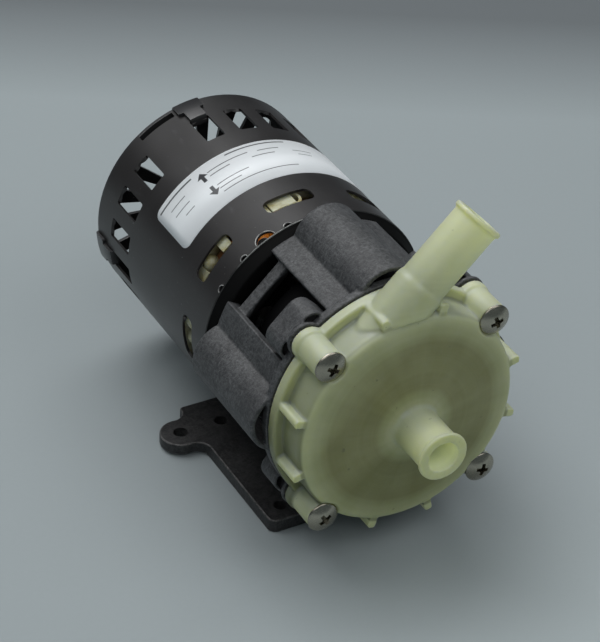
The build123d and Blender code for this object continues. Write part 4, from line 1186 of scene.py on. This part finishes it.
def make_front_plate():
    """Dished plate with a thin lip, vents and a bearing cup, and a tongue at the large notch."""
    plate = bmesh.new()
    section = [
        (5.0, 58.6, 0.2), (9.6, 58.6, 0.6), (9.6, BRACKET_REAR), (38.8, BRACKET_REAR, 1.2),
        (41.0, 63.2, 0.3), (41.7, 63.9), (41.95, 63.95), (41.95, 64.25), (41.0, SHELL_FRONT),
        (41.0, 70.0), (39.5, 70.0), (39.5, 65.0, 0.8), (38.2, 61.6, 0.8), (9.6, 61.6),
        (9.6, 69.6, 0.2), (8.0, 69.6, 0.2), (8.0, 60.6), (5.0, 60.6),
    ]
    turned(plate, eased(section, 5), 160)
    dish = piece_of("front_plate_pressing", plate)
    vents = bmesh.new()
    for step in range(8):
        plug(vents, 4.5, 57.0, 64.0, 32, flat_spot(23.0, 22.5 + 45 * step))
    for angle in COLUMNS:
        plug(vents, 2.2, 57.0, 64.0, 24, flat_spot(NUT_CIRCLE, angle))
    prism(vents, sector(39.0, 41.5, 118.0, 7.0), 64.35, 71.0)
    cut_away(dish, vents)
    placed(dish, plate_paint_and_shade, ["motor_front_plate"])
    softened(dish, 0.2, angle=30, worn=rim_rub)
    for face in dish.data.polygons:
        middle = FROM_ROW @ face.center
        if math.hypot(middle.x, middle.z) > 41.8:
            face.material_index = 1
    top = [(2.2 * u, 65.0 + 2.3 * v) for u, v in arc(1, 180, 0)]
    tongue = bent([(-2.2, 64.0)] + top + [(2.2, 64.0)], 41.0, 0.8, 119.6)
    softened(piece_of("rim_tongue", tongue, plate_paint_and_shade), 0.25, worn=rim_rub)


# Inside the shell: insulators, coils, a lead, and the turning pieces that show

def make_insulator(name, stands_for, front, rear, way):
    """Moulded coil former: a ring with outer tabs, inner walls and ball-ended posts."""
    former = bmesh.new()
    wall = front if way < 0 else rear
    foot = wall - 0.2 * way
    ring = [(FORMER_INSIDE, front, 0.2), (40.6, front, 0.4), (40.6, rear, 0.2)]
    turned(former, eased(ring + [(FORMER_INSIDE, rear, 0.2)]), 128)

    def tab(inner, outer, middle, half, steps, length):
        prism(former, sector(inner, outer, middle, half, steps), *sorted((foot, wall + length * way)))

    for angle in COILS:
        tab(FORMER_INSIDE, 27.7, angle, 16.0, 12, 8.0)
        if way < 0 and angle == CAPPED_COIL:
            tab(36.0, 40.3, angle + 2.4, 6.6, 8, 6.4)
            tab(36.0, 39.8, angle + 11.2, 1.8, 4, 7.0)
            continue
        tab(36.2, 40.3, angle - 8.1, 3.1, 4, 6.2)
        tab(35.8, 39.2, angle + 11.2, 3.2, 4, 5.0)
        ball = arc(2.9, 90, -54)
        knob = [(radius, wall + 1.7 * way + rise * way) for radius, rise in ball]
        turned(former, knob + [(1.4, foot), (0, foot)], 32, flat_spot(37.4, angle + 4.2))
    piece = piece_of(name, former, insulator_plastic, [stands_for])
    softened(piece, 0.35, 3, 50)


def make_terminal_rim():
    """Round rim on the front former that the top slot shows."""
    outer, inner = [bow(0, 79.6, radius, 0, 360, 36)[:-1] for radius in (4.6, 3.5)]
    rim = bent(outer, 40.0, 2.4, 94.6, 0.0, [inner])
    softened(piece_of("terminal_rim", rim, insulator_plastic), 0.3, 3, 50)


def make_coils():
    """Coil ends as rounded blocks, one for each coil at each end of the stack, with the turns drawn by the
    wire finish.
    """
    turns = bmesh.new()
    front_wall, rear_wall = FRONT_FORMER[0], REAR_FORMER[1]
    for front, rear in ((front_wall - COIL_REACH, front_wall), (rear_wall, rear_wall + COIL_REACH)):
        for angle in COILS:
            prism(turns, eased(sector(28.0, 37.0, angle, 16.0, 10)), front, rear)
    coils = piece_of("coil_ends", turns, wire_enamel, ["stator_windings"])
    softened(coils, 2.0, 4, 50)


def make_lead():
    """Short sleeved lead that passes behind the notch in the shell's front edge."""
    curve = bpy.data.curves.new("lead_loop", "CURVE")
    curve.dimensions = "3D"
    curve.bevel_depth = 1.5 * MM
    curve.bevel_resolution = 5
    spline = curve.splines.new("NURBS")
    route = [(37.4, 100, 80.5), (37.8, 104, 75.5), (38.8, 110, 70.4), (39.4, 117, 68.6), (38.8, 124, 70.6)]
    route += [(37.6, 130, 75.5), (37.2, 134, 81.0)]
    spline.points.add(len(route) - 1)
    for point, (radius, angle, distance) in zip(spline.points, route):
        point.co = (*(TO_ROW @ spot(radius, angle, distance)), 1)
    spline.order_u = 3
    spline.use_endpoint_u = True
    curve.materials.append(glowing_lead_sleeve)
    lead = bpy.data.objects.new("lead_loop", curve)
    bpy.context.scene.collection.objects.link(lead)
    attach(lead, "pump_frame")


def make_fan():
    """Hub and disc with nine swept blades."""
    fan = bmesh.new()
    hub = [(SHAFT_HOLE, 124.6), (25.0, 124.6, 0.3), (25.0, 125.8, 0.3), (8.5, 125.8)]
    turned(fan, eased(hub + [(8.5, 133.6, 0.6), (SHAFT_HOLE, 133.6)]), 96)
    for start in range(0, 360, 40):
        sides = ([], [])
        for part in range(9):
            share = part / 8
            radius = 8.0 + 16.8 * share
            half = math.degrees(0.6 / radius)
            for side, lean in zip(sides, (-half, half)):
                side.append(flat_spot(radius, start + 12 * share ** 0.8 + lean))
        prism(fan, sides[0] + sides[1][::-1], 125.2, 133.6)
    piece = piece_of("fan_moulding", fan, fan_plastic, ["cooling_fan"], "motor_rotor")
    softened(piece, 0.15)


def make_drive_cup():
    """Cup that carries the drive magnets, in a near-black finish that is painted shade."""
    section = [
        (SHAFT_HOLE, 48.0), (28.0, 48.0, 0.4), (28.0, 22.8, 0.3), (31.0, 22.8, 0.4),
        (31.0, 51.0, 0.9), (9.0, 51.0, 0.8), (9.0, 57.0, 0.5), (SHAFT_HOLE, 57.0),
    ]
    cup = bmesh.new()
    turned(cup, eased(section), 128)
    piece = piece_of("drive_cup", cup, cup_shade_black, ["drive_magnet_cup"], "motor_rotor")
    piece.data.set_sharp_from_angle(angle=math.radians(40))


make_cover()
make_cover_screws()
make_bracket()
make_base()
make_shell()
make_notch_burrs()
make_label()
make_end_cap()
make_front_plate()
make_insulator("front_former", "front_insulator", *FRONT_FORMER, -1)
make_insulator("rear_former", "rear_insulator", *REAR_FORMER, 1)
make_terminal_rim()
make_coils()
make_lead()
make_fan()
make_drive_cup()

NODE_FINISHES = (
    (plated_steel, ("base_screws", "bracket_nuts", "bracket_screws", "cup_set_screw")),
    (insert_brass, ("cover_screw_inserts",)),
    (seal_rubber, ("cover_seal",)),
    (magnet_finish, ("drive_magnets", "inner_magnet")),
    (bearing_bronze, ("front_bearing", "rear_bearing")),
    (ceramic_finish, ("front_thrust_washer", "rear_thrust_washer", "spindle")),
    (wet_plastic, ("impeller", "rear_housing")),
    (carbon_finish, ("impeller_bushing",)),
    (shaft_steel, ("motor_shaft",)),
    (lamination_steel, ("rotor_core", "stator_core")),
    (rotor_aluminium, ("rotor_end_rings",)),
)
for finish, nodes in NODE_FINISHES:
    for node in nodes:
        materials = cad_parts[node].data.materials
        materials.clear()
        materials.append(finish)


# Floor, backdrop, lamps and camera

HEADING = math.radians(29.9)
AHEAD = Vector((math.sin(HEADING), math.cos(HEADING), 0))


def backdrop_look(tree):
    """Pale grey sweep, painted darker towards its far end as painted shade, with a painted pool of light
    on the floor near the front right.
    """
    place = here(tree)
    broad = span(tree, cloud(tree, 2.0, 2.0, place), 0.3, 0.7)
    fine = span(tree, cloud(tree, 500.0, 2.0, place), 0.3, 0.7)
    tone = blend(tree, broad, (0.34, 0.387, 0.40, 1), (0.365, 0.412, 0.425, 1))
    tone = blend(tree, times(tree, fine, 0.15), tone, (0.323, 0.366, 0.375, 1))
    # Painted shade: darker towards the far end
    far = span(tree, vector(tree, "DOT_PRODUCT", place, AHEAD), 0.24, 0.33)
    tone = blend(tree, far, tone, (0.155, 0.174, 0.184, 1))
    # Painted light: paler floor near the front right, lifting the shadow there
    painted_light_way = Vector((AHEAD.y, -AHEAD.x, 0)) * 0.6 - AHEAD * 0.8
    near = span(tree, vector(tree, "DOT_PRODUCT", place, painted_light_way), 0.05, 0.18, 0.0, 0.85)
    return {"Base Color": blend(tree, near, tone, (0.50, 0.565, 0.575, 1))}


def make_stage():
    """Pale sweep: a level floor that turns up into a wall all round, far from the pump."""
    sweep = bmesh.new()
    floor_radius, bend, wall_top = 1.9, 0.5, 1.2
    line = [(floor_radius / 2, 0.0), (floor_radius, 0.0)]
    for step in range(1, 13):
        turn = math.pi / 2 * step / 12
        line.append((floor_radius + bend * math.sin(turn), bend * (1 - math.cos(turn))))
    line.append((floor_radius + bend, wall_top))
    rings = []
    for radius, rise in line:
        rings.append([sweep.verts.new((x, y, rise)) for x, y in arc(radius, 0, 360, 96)[:-1]])
    sweep.faces.new(rings[0])
    for inner, outer in zip(rings, rings[1:]):
        bridge(sweep, outer, inner)
    mesh = bpy.data.meshes.new("studio_sweep")
    sweep.to_mesh(mesh)
    sweep.free()
    mesh.shade_smooth()
    floor = bpy.data.objects.new("studio_sweep", mesh)
    bpy.context.scene.collection.objects.link(floor)
    mesh.materials.append(surface("studio_sweep", backdrop_look, Roughness=0.7))


def lamp(name, spot_at, power):
    """Soft rectangular lamp aimed at the middle of the pump."""
    data = bpy.data.lights.new(name, "AREA")
    data.shape = "RECTANGLE"
    data.size = 1.0
    data.size_y = 0.8
    data.energy = power
    holder = bpy.data.objects.new(name, data)
    holder.location = spot_at
    aim = Vector((0, 0, 0.05)) - Vector(spot_at)
    holder.rotation_euler = aim.to_track_quat("-Z", "Y").to_euler()
    bpy.context.scene.collection.objects.link(holder)


def make_camera():
    """Camera fitted to the photo."""
    focal_pixels, picture_height, sensor = 2451.8, 642, 36.0
    ahead = Vector((0.40844, 0.70927, -0.57456))
    right = Vector((0.87867, -0.47600, 0.03702))
    up = Vector((0.24724, 0.51997, 0.81763))
    data = bpy.data.cameras.new("photo_view")
    data.sensor_width = sensor
    data.lens = focal_pixels / picture_height * sensor
    data.clip_start = 0.05
    data.clip_end = 20.0
    holder = bpy.data.objects.new("photo_view", data)
    turn = Matrix((right, up, -ahead)).transposed().to_4x4()
    holder.matrix_world = Matrix.Translation((-0.34677, -0.58563, 0.53399)) @ turn
    bpy.context.scene.collection.objects.link(holder)
    bpy.context.scene.camera = holder


make_stage()
make_camera()
lamp("overhead_back_left", (-0.25, 0.45, 1.25), 6.2)
lamp("back_top", (0.35, 0.6, 1.15), 3.9)
lamp("left_back", (-0.55, 0.75, 1.0), 1.7)
lamp("front_left", (-0.5, -0.9, 1.2), 3.4)
lamp("front_right", (0.6, -0.7, 1.2), 3.1)
world = bpy.data.worlds.new("studio")
bpy.context.scene.world = world
world.use_nodes = True
sky = world.node_tree.nodes["Background"].inputs
sky["Color"].default_value = (0.85, 0.93, 1.0, 1)
sky["Strength"].default_value = 0.18
bpy.context.scene.view_settings.view_transform = "Standard"
